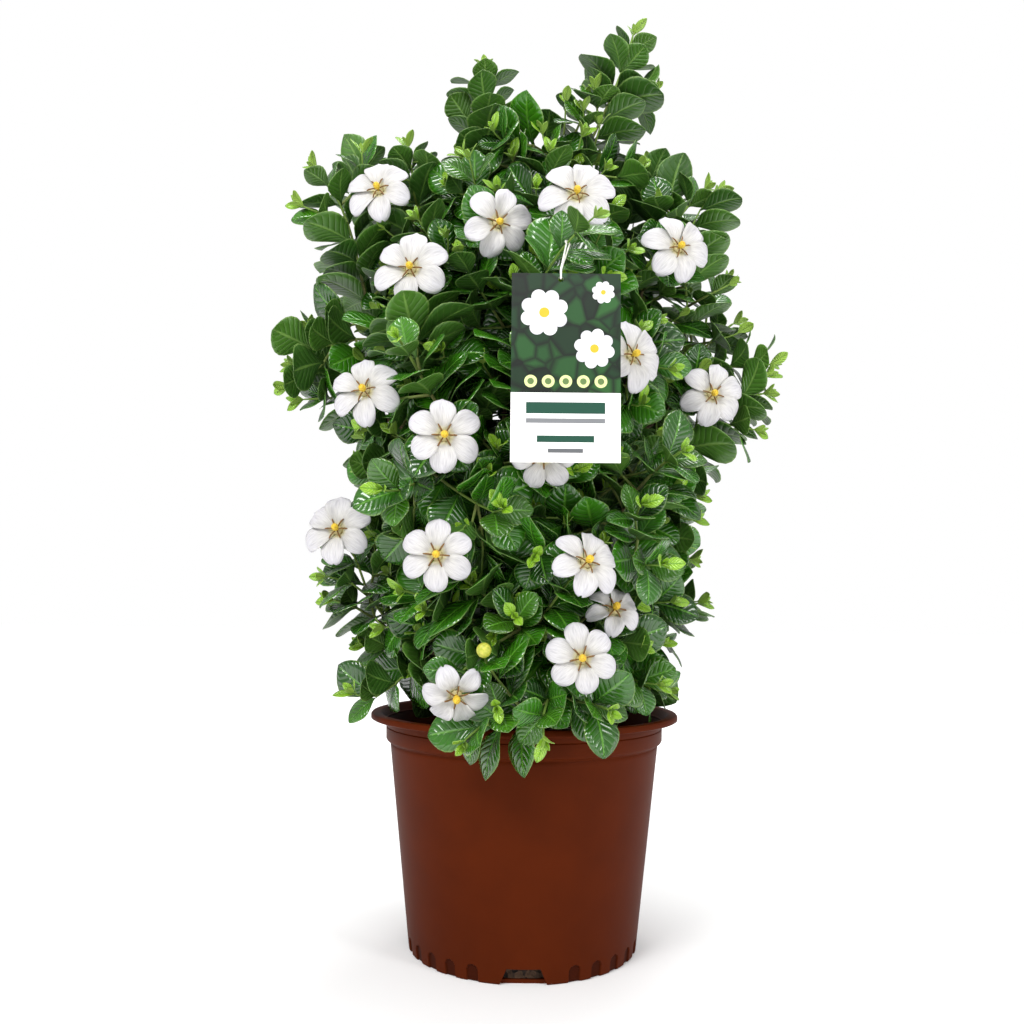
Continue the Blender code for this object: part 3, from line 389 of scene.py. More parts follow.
tag_low = (
    TAG_CENTRE[0] - TAG_SIZE[0] / 2 - 0.002,
    TAG_CENTRE[1] - 0.060,
    TAG_CENTRE[2] - TAG_SIZE[2] / 2 - 0.002,
)
tag_high = (
    TAG_CENTRE[0] + TAG_SIZE[0] / 2 + 0.002,
    TAG_CENTRE[1] + 0.0025,
    TAG_CENTRE[2] + TAG_SIZE[2] / 2 + 0.002,
)
tag_ends = (tag_low, tag_high)
tag_room = [Vector((x[0], y[1], z[2])) for z in tag_ends for y in tag_ends for x in tag_ends]
tag_sides = [(0, 2, 3, 1), (4, 5, 7, 6), (0, 1, 5, 4), (2, 6, 7, 3), (0, 4, 6, 2), (1, 3, 7, 5)]
space.add(tag_room, tag_sides, "tag")
for number, (centre, facing, radius) in enumerate(FLOWERS):
    axis, across, up = flower_frame(facing)
    cone = [(0.0, -THROAT_LENGTH), (0.0035, -THROAT_LENGTH), (0.0045, -0.003)]
    cone += [(radius + 0.001, -0.004), (radius + 0.001, 0.006), (0.0, 0.010)]
    points, faces = ring_shape(cone, 10)
    placed = [Vector(centre) + across * p.x + up * p.y + axis * p.z for p in points]
    space.add(placed, faces, "flower%d" % number)


def blocks_view(point):
    """True for a place right in front of the tag or of an open flower."""
    if all(tag_low[a] < point[a] < tag_high[a] for a in range(3)):
        return True
    for centre, facing, radius in FLOWERS:
        axis = Vector(facing).normalized()
        offset = point - Vector(centre)
        ahead = offset.dot(axis)
        if -0.004 < ahead < 0.05 and (offset - axis * ahead).length < radius * 0.95:
            return True
    return False


# ----------------------------------------------------------------- woody limbs
# Nine round limbs of old wood leave a knobbly root crown in the mix and taper as they spread. They are
# clad in grey-brown bark; where a shoot is young its skin is still green.
LIMBS = [
    ((0.004, 0.004), (0.020, 0.000, 0.600), 0.0062),
    ((-0.012, 0.000), (-0.085, -0.020, 0.540), 0.0052),
    ((0.014, -0.002), (0.090, -0.010, 0.500), 0.0052),
    ((-0.003, -0.013), (-0.020, -0.080, 0.460), 0.0048),
    ((0.001, 0.015), (0.000, 0.090, 0.500), 0.0048),
    ((0.012, -0.010), (0.060, -0.085, 0.330), 0.0040),
    ((-0.012, -0.009), (-0.080, -0.060, 0.300), 0.0040),
    ((0.010, 0.011), (0.075, 0.070, 0.330), 0.0040),
    ((-0.010, 0.010), (-0.070, 0.080, 0.320), 0.0040),
]
# Bark grain of 0.5 mm, drawn at 1.2 mm so that it shows.
BARK_GRAIN = 0.0012


def curve_points(start, start_way, end, end_way, spacing):
    """Evenly spaced points on a smooth curve from start to end."""
    reach = (end - start).length
    p1 = start + start_way * reach * 0.36
    p2 = end - end_way * reach * 0.36
    fine = []
    for i in range(41):
        t = i / 40
        u = 1.0 - t
        fine.append(start * u**3 + p1 * (3 * u * u * t) + p2 * (3 * u * t * t) + end * t**3)
    total = sum((b - a).length for a, b in zip(fine, fine[1:]))
    count = max(2, round(total / spacing))
    points = [fine[0].copy()]
    walked = 0.0
    step = total / count
    target = step
    for a, b in zip(fine, fine[1:]):
        length = (b - a).length
        while walked + length >= target - 1e-9 and len(points) < count:
            points.append(a.lerp(b, (target - walked) / length))
            target += step
        walked += length
    points.append(fine[-1].copy())
    return points


def tube_mesh(points, radii, sides=4):
    """A plain tube round a run of points, as vertices and faces."""
    verts = []
    side = None
    for i, point in enumerate(points):
        way = (points[min(i + 1, len(points) - 1)] - points[max(i - 1, 0)]).normalized()
        side = side or way.orthogonal()
        side = (side - way * side.dot(way)).normalized()
        other = way.cross(side)
        for k in range(sides):
            turn = 2 * math.pi * (k + 0.5) / sides
            verts.append(point + (side * math.cos(turn) + other * math.sin(turn)) * radii[i])
    faces = sleeve_faces(len(points), sides)
    faces.append(tuple(reversed(range(sides))))
    faces.append(tuple(range((len(points) - 1) * sides, len(points) * sides)))
    return verts, faces


def add_tube(points, radii, sides, verts, faces):
    """Adds a round tube with closed ends to a piece."""
    tube_verts, tube_faces = tube_mesh(points, radii, sides)
    faces += [tuple(i + len(verts) for i in face) for face in tube_faces]
    verts += tube_verts


# Stem skin and bark: green and smooth at first, then dull, cracked and grey-brown.
STEM, shader, add = new_material("stem_bark", "#6f5a3c", 0.7)
grain = add("TexNoise", {"Vector": add("TexCoord", out="Object"), "Scale": 1 / BARK_GRAIN, "Detail": 4.0})
bark = add("ValToRGB", (grain,), stops=((0.3, "#4b3a28"), (0.7, "#8d7456")))
wood_age = add("Attribute", (), "Fac", attribute_name="age")
feed(
    shader,
    {
        "Base Color": add("Mix", {0: wood_age, 6: "#6f8f35", 7: bark}, 2, data_type="RGBA"),
        "Normal": add("Bump", {"Strength": 0.5, "Distance": 0.0008, "Height": grain}),
    },
)

limbs = []
verts = []
faces = []
for foot, top, radius in LIMBS:
    start = Vector((foot[0], foot[1], SOIL_TOP + 0.006))
    end = Vector(top)
    outward = Vector((end.x, end.y, 0.0))
    lean = (Vector((0, 0, 1)) + outward * 1.6).normalized()
    points = curve_points(start, Vector((outward.x, outward.y, 0.16)).normalized(), end, lean, 0.045)
    radii = [radius * (1.0 - 0.58 * i / (len(points) - 1)) for i in range(len(points))]
    limbs.append((points, radii))
    space.add(*tube_mesh(points, [r + 0.0006 for r in radii], 6), "limb")
    add_tube(points, radii, 12, verts, faces)
root_crown = [Vector((0.001, 0.001, SOIL_TOP + h)) for h in (0.0003, 0.005, 0.010, 0.013)]
add_tube(root_crown, [0.0195, 0.0178, 0.0150, 0.0060], 20, verts, faces)
mesh_piece("limbs", "woody_stems", "bark", verts, faces, [STEM], {"age": [1.0] * len(verts)})

# ------------------------------------------------------------- shoots and twigs
# Eighteen leading shoots go on from the limbs, and side twigs leave them at the leaf nodes. Each shoot,
# with all its twigs and leaves, is one living piece.
NODE_SPACING = 0.0185
# The stem is nearly square between its ridges, so a leaf starts at this share of its radius.
STEM_SHARE = 0.71
GAP = 0.0003
# Leading shoots: tip and the way the tip points.
LEADERS = [
    ((0.098, 0.000, 0.838), (0.25, -0.05, 1.0)),
    ((-0.042, 0.000, 0.803), (-0.10, 0.00, 1.0)),
    ((-0.112, -0.020, 0.715), (-0.20, -0.15, 1.0)),
    ((-0.195, -0.020, 0.695), (-0.70, -0.15, 0.7)),
    ((0.160, -0.020, 0.678), (0.70, -0.20, 0.6)),
    ((0.195, 0.020, 0.565), (0.90, 0.00, 0.5)),
    ((0.212, -0.020, 0.490), (1.00, -0.15, 0.1)),
    ((-0.212, 0.000, 0.515), (-1.0, -0.15, 0.3)),
    ((0.010, -0.145, 0.505), (0.0, -0.80, 0.5)),
    ((-0.100, -0.160, 0.500), (-0.3, -1.00, 0.3)),
    ((0.120, -0.130, 0.420), (0.5, -1.00, 0.2)),
    ((-0.165, -0.040, 0.300), (-1.0, -0.35, 0.2)),
    ((-0.010, -0.160, 0.290), (0.0, -1.00, 0.1)),
    ((0.150, -0.030, 0.300), (1.0, -0.30, 0.3)),
    ((0.030, 0.120, 0.650), (0.2, 0.60, 0.8)),
    ((-0.130, 0.115, 0.470), (-0.8, 0.80, 0.4)),
    ((0.130, 0.120, 0.500), (0.8, 0.80, 0.4)),
    ((0.000, 0.160, 0.300), (0.0, 1.00, 0.2)),
]
LEADER_RADIUS = 0.0021
LEADER_LEAFY = 0.45
# Side twigs that shape the outline: tip and the way the tip points.
SIDE_TIPS = [
    ((0.046, -0.174, 0.592), (0.7, -0.6, 0.4)),
    ((0.062, -0.015, 0.775), (-0.2, -0.2, 1.0)),
    ((0.118, 0.010, 0.790), (0.7, 0.0, 0.8)),
    ((0.050, -0.020, 0.752), (-0.1, -0.3, 1.0)),
    ((0.012, -0.040, 0.720), (-0.2, -0.4, 1.0)),
    ((-0.068, 0.010, 0.765), (-0.6, 0.1, 0.9)),
    ((-0.158, 0.020, 0.725), (-0.1, 0.0, 1.0)),
    ((-0.200, -0.045, 0.650), (-0.8, -0.4, 0.3)),
    ((0.112, 0.000, 0.710), (0.2, 0.0, 1.0)),
    ((0.183, 0.000, 0.600), (0.8, 0.0, 0.7)),
    ((0.222, -0.005, 0.520), (0.9, 0.1, 0.3)),
    ((0.200, -0.035, 0.455), (0.9, -0.3, -0.2)),
    ((-0.200, -0.025, 0.480), (-0.8, -0.4, -0.2)),
    ((-0.155, 0.030, 0.590), (-0.9, 0.1, 0.5)),
    ((0.150, -0.020, 0.395), (0.9, -0.3, 0.2)),
    ((0.145, -0.010, 0.340), (0.9, -0.2, 0.0)),
    ((-0.165, -0.075, 0.320), (-0.8, -0.6, 0.0)),
    ((-0.135, -0.045, 0.262), (-0.9, -0.5, 0.2)),
    ((-0.140, -0.070, 0.222), (-0.6, -0.5, 0.5)),
    ((0.105, -0.090, 0.235), (0.7, -0.6, 0.1)),
    ((0.120, -0.040, 0.225), (0.9, -0.4, 0.1)),
    ((0.012, -0.172, 0.205), (0.1, -0.7, -0.8)),
    ((-0.045, -0.168, 0.200), (-0.2, -0.8, -0.5)),
    ((-0.022, -0.172, 0.225), (0.0, -1.0, -0.2)),
    ((0.060, -0.160, 0.222), (0.4, -1.0, -0.3)),
    ((0.100, -0.150, 0.330), (0.5, -1.0, 0.2)),
    ((-0.110, -0.150, 0.385), (-0.5, -1.0, 0.1)),
    ((-0.020, -0.165, 0.370), (0.0, -1.0, 0.3)),
    ((0.085, -0.150, 0.375), (0.4, -1.0, 0.3)),
]
SIDE_RADIUS = 0.0015
SIDE_LEAFY = 0.85


class Twig:
    """A run of leaf nodes: places, frames, radii, and what grows on each side of each node."""

    def __init__(self, points, radius, frame, shoot, leafy, ends, flower=None):
        self.points = points
        self.shoot = shoot
        self.flower = flower
        self.leafy = leafy
        self.grown = {}
        self.ways = []
        self.frames = []
        last = len(points) - 1
        self.radii = [radius * (1.0 - 0.45 * i / last) for i in range(last + 1)]
        e1 = frame
        for i in range(last + 1):
            way = (points[min(i + 1, last)] - points[max(i - 1, 0)]).normalized()
            if i in (0, last):
                way = ends[0 if i == 0 else 1].copy()
            e1 = (e1 - way * e1.dot(way)).normalized()
            self.ways.append(way)
            self.frames.append((e1, way.cross(e1)))

    def out(self, i, side):
        """The outward direction of one of the four sides of node i."""
        e1, e2 = self.frames[i]
        return (e2, -e1, -e2, e1)[side]


def add_twig(points, radius, frame, shoot, leafy, ends, flower=None, skip=()):
    """Places a twig if it runs clear of everything else."""
    made = Twig(points, radius, frame, shoot, leafy, ends, flower)
    wide = [r + 0.0007 for r in made.radii]
    test = [points[0].lerp(points[1], 0.35)] + points[1:]
    if space.hits(*tube_mesh(test, wide), skip):
        return None
    twigs.append(made)
    whole = [points[0].lerp(points[1], 0.10)] + points[1:]
    whole[-1] = points[-1] + made.ways[-1] * (0.004 if flower is None else 0.0)
    space.add(*tube_mesh(whole, wide), "twig%d" % (len(twigs) - 1))
    return made


def vector_pair(place, way):
    return Vector(place), Vector(way).normalized()


def grow_leader(shoot, tip, way):
    """Grows a leading shoot from the surface of the nearest limb, or from its end."""
    options = []
    for points, radii in limbs:
        for i in range(2, len(points)):
            drop = tip.z - points[i].z
            cost = (tip - points[i]).length + max(0.0, 0.03 - drop) * 4
            options.append((cost, points, radii, i))
    options.sort(key=lambda item: item[0])
    for cost, points, radii, i in options[:14]:
        along = (points[min(i + 1, len(points) - 1)] - points[i - 1]).normalized()
        if i == len(points) - 1:
            start = points[i] + along * GAP
            start_way = bend = along
        else:
            aim = tip - points[i]
            start_way = (aim - along * aim.dot(along)).normalized()
            start = points[i] + start_way * (radii[i] + GAP + 0.0001)
            bend = (start_way + along * 0.15).normalized()
        if any((start - root).length < 0.012 for root in roots):
            continue
        path = curve_points(start, bend, tip, way, NODE_SPACING)
        if add_twig(path, LEADER_RADIUS, way.orthogonal(), shoot, LEADER_LEAFY, (start_way, way)):
            roots.append(start)
            return


def grow_side_twig(tip, way, flower=None, seat=0.0, through=()):
    """Grows a twig to the tip from the node that suits it best; gives nothing if none does."""
    end = tip - way * seat
    options = []
    for parent in [t for t in twigs if t.flower is None]:
        for i in range(1, len(parent.points) - 2):
            aim = end - parent.points[i]
            reach = aim.length
            if reach < 0.022 or reach > 0.17:
                continue
            steep = aim.normalized().dot(parent.ways[i])
            if steep > 0.93 or steep < -0.35:
                continue
            crowd = len([1 for key in parent.grown if key[0] == i])
            cost = reach + abs(steep - 0.5) * 0.03 + crowd * 0.02
            options.append((cost, parent, i))
    options.sort(key=lambda item: item[0])
    skip = ("flower%s" % flower, *through)
    for cost, parent, i in options[:16]:
        aim = (end - parent.points[i]).normalized()
        side = max(range(4), key=lambda k: parent.out(i, k).dot(aim))
        if (i, side) in parent.grown:
            continue
        out = parent.out(i, side)
        start = parent.points[i] + out * parent.radii[i] * STEM_SHARE
        start_way = (out + parent.ways[i] * 0.45 + aim * 0.4).normalized()
        path = curve_points(start, start_way, end, way, NODE_SPACING)
        ends = (start_way, way)
        made = add_twig(path, SIDE_RADIUS, -parent.ways[i], parent.shoot, SIDE_LEAFY, ends, flower, skip)
        if made:
            parent.grown[(i, side)] = made
            return made
    return None


twigs = []
roots = []
tips = []
for shoot, (tip, way) in enumerate(LEADERS):
    grow_leader(shoot, *vector_pair(tip, way))
for number, (centre, facing, radius) in enumerate(FLOWERS):
    centre, facing = vector_pair(centre, facing)
    grow_side_twig(centre, facing, number, THROAT_LENGTH + GAP)
    tips.append(centre)
for tip, way in SIDE_TIPS:
    tip, way = vector_pair(tip, way)
    grow_side_twig(tip, way)
    tips.append(tip)
tips += [Vector(tip) for tip, way in LEADERS]

# ------------------------------------------------------------------ flower bud
# One flower bud on a twig end: an egg of petals still furled in their yellow-green skin.
BUD_RADIUS = 0.0055
BUD_LENGTH = 1.25
BUD_CENTRE = (-0.032, -0.182, 0.266)
BUD_FACING = (0.10, -1.0, 0.30)
BUD_MOTTLE = 0.002
BUD_RINGS = 14
bud_centre, bud_facing = vector_pair(BUD_CENTRE, BUD_FACING)
bud_seat = BUD_RADIUS * BUD_LENGTH + GAP
bud_room = [(0.0, -bud_seat + 0.001), (BUD_RADIUS + 0.001, 0.0), (0.0, bud_seat + 0.001)]
points, faces = ring_shape(bud_room, 8)
turn_to_bud = bud_facing.to_track_quat("Z", "Y")
space.add([bud_centre + turn_to_bud @ p for p in points], faces, "flowerbud")
grow_side_twig(bud_centre, bud_facing, "bud", bud_seat)
tips.append(bud_centre)

# Furled petal skin: smooth, faintly glossy, with soft mottling of about 2 mm.
BUD_SKIN, shader, add = new_material("bud_skin", "#b9bb3e", 0.45)
mottle = add("TexNoise", {"Vector": add("TexCoord", out="Object"), "Scale": 1 / BUD_MOTTLE})
feed(shader, {"Base Color": add("ValToRGB", (mottle,), stops=((0.3, "#9aa52c"), (0.7, "#c9c452")))})
places = []
sizes = []
for i in range(BUD_RINGS + 1):
    t = -1 + 2 * i / BUD_RINGS
    places.append(bud_centre + bud_facing * (t * BUD_RADIUS * BUD_LENGTH))
    sizes.append(max(0.0004, BUD_RADIUS * math.sqrt(max(0.0, 1 - t * t))))
mesh_piece("bud", "flower_bud", "flower_bud", *tube_mesh(places, sizes, 24), [BUD_SKIN])

# ------------------------------------------------------------------ tag string
# One loop of thin off-white elastic cord, tied through the card's punched hole and hung over the nearest
# twig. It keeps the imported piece's shape; its path holds a place among the leaves.
TAG_HOLE = (-0.0040, 0.0655)
TAG_HOLE_RADIUS = 0.0020
STRING_RADIUS = 0.0007
# The cord is twisted once every 1.5 mm; a band of the wave is 0.314 of its scale.
PLY = 0.0015
PLY_BAND = 0.314
hole = Vector(TAG_CENTRE) + Vector((TAG_HOLE[0], 0.0, TAG_HOLE[1]))


def string_loop(over, way, radius):
    """Places along a loop that passes through the tag's hole and over a twig."""
    up = (Vector((0, 0, 1)) - way * way.z).normalized()
    side = way.cross(up)
    if side.y > 0:
        side = -side
    bend = radius + STRING_RADIUS + GAP
    rest = hole + Vector((0, 0, TAG_HOLE_RADIUS - STRING_RADIUS - GAP))
    step = Vector((0, 0.0018, 0))
    clear = Vector((0, 0, 0.0065))
    low = [rest - step + clear, rest - step + clear * 0.2, rest - step * 0.4]
    low += [rest + step * 0.4, rest + step + clear * 0.2, rest + step + clear]
    turns = [math.radians(30 * k) for k in range(7, -2, -1)]
    top = [over + (side * math.cos(turn) + up * math.sin(turn)) * bend for turn in turns]
    rising = [low[-1].lerp(top[0], t) for t in (0.25, 0.5, 0.75)]
    falling = [top[-1].lerp(low[0], t) for t in (0.25, 0.5, 0.75)]
    return low + rising + top + falling


def closed_tube(places, radius, sides):
    """A tube along a closed run of places."""
    verts = []
    count = len(places)
    side = Vector((1, 0, 0))
    for i in range(count):
        way = (places[(i + 1) % count] - places[i - 1]).normalized()
        side = (side - way * side.dot(way)).normalized()
        other = way.cross(side)
        for k in range(sides):
            turn = 2 * math.pi * k / sides
            verts.append(places[i] + (side * math.cos(turn) + other * math.sin(turn)) * radius)
    shift = min(range(sides), key=lambda k: (verts[-sides + k] - verts[0]).length)
    faces = sleeve_faces(count, sides)
    for k in range(sides):
        a = (count - 1) * sides + k
        b = (count - 1) * sides + (k + 1) % sides
        faces.append((a, b, (k + 1 - shift) % sides, (k - shift) % sides))
    return verts, faces


options = []
wish = Vector((hole.x + 0.004, hole.y + 0.024, hole.z + 0.030))
for number, twig in enumerate(twigs):
    for i in range(1, len(twig.points) - 1):
        middle = twig.points[i].lerp(twig.points[i + 1], 0.5)
        if middle.z > hole.z + 0.012:
            cost = (middle - wish).length + abs(twig.ways[i].z) * 0.02
            options.append((cost, number, i, middle))
options.sort(key=lambda item: item[0])
for cost, number, i, middle in options[:30]:
    way = (twigs[number].points[i + 1] - twigs[number].points[i]).normalized()
    places = string_loop(middle, way, twigs[number].radii[i])
    points, faces = closed_tube(places, STRING_RADIUS + 0.0004, 6)
    if not space.hits(points, faces, ("tag", "twig%d" % number)):
        space.add(points, faces, "string")
        break

ELASTIC, shader, add = new_material("elastic_cord", "#efece4", 0.6)
ply = add("TexWave", {"Vector": add("TexCoord", out="Object"), "Scale": PLY_BAND / PLY}, "Fac")
feed(shader, {"Normal": add("Bump", {"Strength": 0.3, "Distance": 0.0002, "Height": ply})})
refinish("tag_string", ELASTIC)

# --------------------------------------------------------------- twigs of the crown
# More side twigs fill the crown out to its reach, which is widest half way up. All growth from here on
# comes from one seeded run of chance, so that it is the same each time.
SEED = 20
FILL_TIPS = 28
TIP_SPACING = 0.046
# Reach of the crown by height: z, right, left, front, back.
CROWN = [
    (0.215, 0.120, 0.130, 0.150, 0.145),
    (0.300, 0.145, 0.150, 0.165, 0.160),
    (0.400, 0.150, 0.160, 0.160, 0.165),
    (0.500, 0.170, 0.165, 0.150, 0.160),
    (0.600, 0.165, 0.155, 0.120, 0.145),
    (0.680, 0.130, 0.145, 0.085, 0.105),
    (0.730, 0.090, 0.090, 0.050, 0.060),
]
rng = random.Random(SEED)


def crown_reach(height, turn):
    """How far the crown reaches at a height, towards the angle turn."""
    row = next(i for i in range(1, len(CROWN)) if height <= CROWN[i][0] or i == len(CROWN) - 1)
    low, high = CROWN[row - 1], CROWN[row]
    t = (height - low[0]) / (high[0] - low[0])
    right, left, front, back = (low[k] + (high[k] - low[k]) * t for k in range(1, 5))
    x = math.cos(turn) * (right if math.cos(turn) > 0 else left)
    y = math.sin(turn) * (back if math.sin(turn) > 0 else front)
    return Vector((x, y, height))


def crowded(tip, spacing):
    """True where a twig would hide a flower or stand too near another tip."""
    return blocks_view(tip) or any((tip - other).length < spacing for other in tips)


filled = 0
while filled < FILL_TIPS:
    height = rng.uniform(CROWN[0][0], CROWN[-1][0])
    turn = rng.uniform(0, 2 * math.pi)
    tip = crown_reach(height, turn)
    depth = rng.uniform(0.72, 1.0)
    tip = Vector((tip.x * depth, tip.y * depth, tip.z))
    rise = 0.15 + 0.9 * (height - 0.2) / 0.5 + rng.uniform(-0.2, 0.3)
    way = Vector((math.cos(turn), math.sin(turn), rise)).normalized()
    if not crowded(tip, TIP_SPACING) and grow_side_twig(tip, way):
        tips.append(tip)
        filled += 1

# --------------------------------------------------------------- places of the leaves
# Gardenia leaves stand in opposite pairs, each pair turned a quarter from the one below it. The packed
# part carries the larger leaves; between them stand many finer twigs and leaves.
LEAF_THICKNESS = 0.0009
LEAF_CLEAR = 0.0004
# A leaf may touch its own twig up to this far from its base.
STALK = 0.0045
FINE_TRIES = 2600
FINE_SPACING = 0.030
# Young twigs that stand out of the bush's outline: tip and the way the tip points.
OUTER_TIPS = [
    ((-0.214, -0.030, 0.530), (-0.9, -0.1, 0.5)),
    ((-0.212, -0.030, 0.492), (-0.9, -0.2, -0.3)),
    ((-0.194, -0.030, 0.538), (-0.5, -0.1, 0.9)),
    ((-0.009, 0.000, 0.745), (-0.1, -0.1, 1.0)),
    ((0.015, 0.000, 0.747), (0.0, -0.1, 1.0)),
    ((0.034, -0.010, 0.765), (0.0, -0.1, 1.0)),
    ((0.053, 0.000, 0.775), (0.1, -0.1, 1.0)),
    ((0.065, -0.020, 0.738), (0.0, -0.1, 1.0)),
    ((-0.199, -0.020, 0.695), (-0.3, -0.2, 1.0)),
    ((-0.110, -0.020, 0.717), (0.1, -0.1, 1.0)),
    ((-0.153, -0.030, 0.705), (0.0, -0.1, 1.0)),
    ((0.170, -0.020, 0.675), (0.7, -0.1, 0.6)),
    ((0.182, -0.020, 0.590), (0.9, -0.1, 0.5)),
    ((0.215, -0.020, 0.505), (0.9, -0.1, 0.6)),
    ((0.190, -0.020, 0.545), (0.8, -0.2, 0.6)),
    ((0.145, -0.030, 0.374), (0.9, -0.3, 0.2)),
    ((0.148, -0.020, 0.410), (0.9, -0.2, 0.2)),
    ((0.148, -0.040, 0.302), (0.9, -0.3, 0.2)),
]


def leaf_hull(base, way, normal, length, width, offset=0.0005):
    """A thin closed shape round a leaf blade, a little bigger than the leaf."""
    side = normal.cross(way)
    start = base + way * offset
    middle = base + way * length * 0.55 + normal * length * 0.05
    end = base + way * (length + LEAF_CLEAR) - normal * length * 0.03
    half = width / 2 + LEAF_CLEAR
    points = [
        start - side * 0.0016,
        start + side * 0.0016,
        middle + side * half,
        end + side * half * 0.5,
        end - side * half * 0.5,
        middle - side * half,
        middle + normal * (LEAF_THICKNESS / 2 + LEAF_CLEAR),
        middle - normal * (LEAF_THICKNESS / 2 + LEAF_CLEAR),
    ]
    faces = []
    for i in range(6):
        faces.append((i, (i + 1) % 6, 6))
        faces.append(((i + 1) % 6, i, 7))
    return points, faces


def try_leaf(twig, number, i, side, age):
    """Places a leaf on one side of a node, with a few tries at its angle and size."""
    way = twig.ways[i]
    out = twig.out(i, side)
    base = twig.points[i] + out * twig.radii[i] * STEM_SHARE
    outward = Vector((twig.points[i].x, twig.points[i].y, 0.0))
    outward = outward.normalized() if outward.length > 0.01 else Vector((0, 0, 1))
    for attempt in range(7):
        spread = math.radians(34 + 34 * age + rng.uniform(-14, 14))
        swing = rng.uniform(-0.35, 0.35)
        across = way.cross(out)
        aim = out * math.sin(spread) + way * math.cos(spread) + across * swing * math.sin(spread)
        aim = (aim + Vector((0, 0, rng.uniform(-0.12, 0.12)))).normalized()
        face = way * 0.8 + outward * 0.35 + Vector((0, 0, 0.45))
        face += Vector((rng.uniform(-1, 1), rng.uniform(-1, 1), rng.uniform(-1, 1))) * 0.22
        normal = (face - aim * face.dot(aim)).normalized()
        length = (0.019 + 0.021 * age) * rng.uniform(0.86, 1.16) * (1.0 - 0.045 * attempt)
        width = length * rng.uniform(0.74, 0.88)
        if blocks_view(base + aim * length * 0.55) or blocks_view(base + aim * length):
            continue
        leaf = (base, aim, normal, length, width)
        hull = leaf_hull(*leaf)
        if space.hits(*hull, skip=("twig%d" % number,)) or space.hits(*leaf_hull(*leaf, STALK)):
            continue
        space.add(*hull, "leaf")
        twig.grown[(i, side)] = leaf
        leaves.append((twig.shoot, leaf, age))
        return


# The larger leaves: a pair at each node, older and bigger down the twig.
leaves = []
for number, twig in enumerate(twigs):
    last = len(twig.points) - 1
    first = max(1, round(last * (1.0 - twig.leafy)))
    if twig.flower is not None:
        last -= 1
    for i in range(last, first - 1, -1):
        age = min(1.0, 0.12 + (last - i) * 0.24)
        if twig.flower is not None:
            age = min(1.0, age + 0.45)
        for side in (0, 2) if i % 2 else (1, 3):
            if (i, side) not in twig.grown and i < len(twig.points) - 1:
                try_leaf(twig, number, i, side, age)
packed_leaves = len(leaves)
flower_turns = [(rng.uniform(0, math.pi / 3), rng.uniform(-0.0005, 0.0025)) for flower in FLOWERS]

# The finer twigs may pass between the leaves; then every free side of a node may take a leaf.
for tip, way in OUTER_TIPS:
    tip, way = vector_pair(tip, way)
    if grow_side_twig(tip, way, through=("leaf",)):
        tips.append(tip)
for attempt in range(FINE_TRIES):
    height = rng.uniform(CROWN[0][0], CROWN[-1][0])
    turn = rng.uniform(0, 2 * math.pi)
    depth = 0.94 * rng.uniform(0.30, 1.0) ** 0.6
    tip = crown_reach(height, turn)
    tip = Vector((tip.x * depth, tip.y * depth, tip.z))
    way = Vector((math.cos(turn), math.sin(turn), 0.3 + rng.uniform(-0.4, 0.8))).normalized()
    if not crowded(tip, FINE_SPACING) and grow_side_twig(tip, way, through=("leaf",)):
        tips.append(tip)
for number, twig in enumerate(twigs):
    last = len(twig.points) - 1
    first = max(1, round(last * (1.0 - twig.leafy) - 1))
    for i in range(last - 1, first - 1, -1):
        for side in range(4):
            if (i, side) not in twig.grown:
                try_leaf(twig, number, i, side, min(1.0, 0.3 + (last - i) * 0.2))

# Each leafy twig ends in two pairs of small, pointed, yellow-green leaves.
TIP_PAIRS = ((0.62, 0.0125), (0.30, 0.0085))
for twig in twigs:
    if twig.flower is not None:
        continue
    way = twig.ways[-1]
    for pair, (spread, size) in enumerate(TIP_PAIRS):
        for side in (0, 2):
            out = twig.out(len(twig.points) - 1, side + pair % 2)
            aim = (way * math.cos(spread) + out * math.sin(spread)).normalized()
            normal = (way * math.sin(spread) - out * math.cos(spread)).normalized()
            length = size * rng.uniform(0.75, 1.3)
            base = twig.points[-1] + way * (0.001 + 0.002 * pair)
            leaves.append((twig.shoot, (base, aim, normal, length, length * 0.52), 0.0))

# -------------------------------------------------------------- stems and leaves
# Each shoot's stems are one skin, green at the tips and barked where old. Its leaves are thin blades,
# widest past the middle on a short stalk, crowned between the veins and a little wavy at the edge.
PACKED_GROWTH = 1.10
FINE_GROWTH = 1.28
BLADE = 0.00035
ALONG = [0.0, 0.05, 0.11, 0.20, 0.32, 0.45, 0.58, 0.70, 0.81, 0.90, 0.96, 1.0]
ACROSS = [-1.0, -0.55, 0.0, 0.55, 1.0]
SIDE_VEINS = 8.0
VEIN_LEAN = 2.2
# The blade's tone varies in patches of about 2 mm.
LEAF_PATCH = 0.002


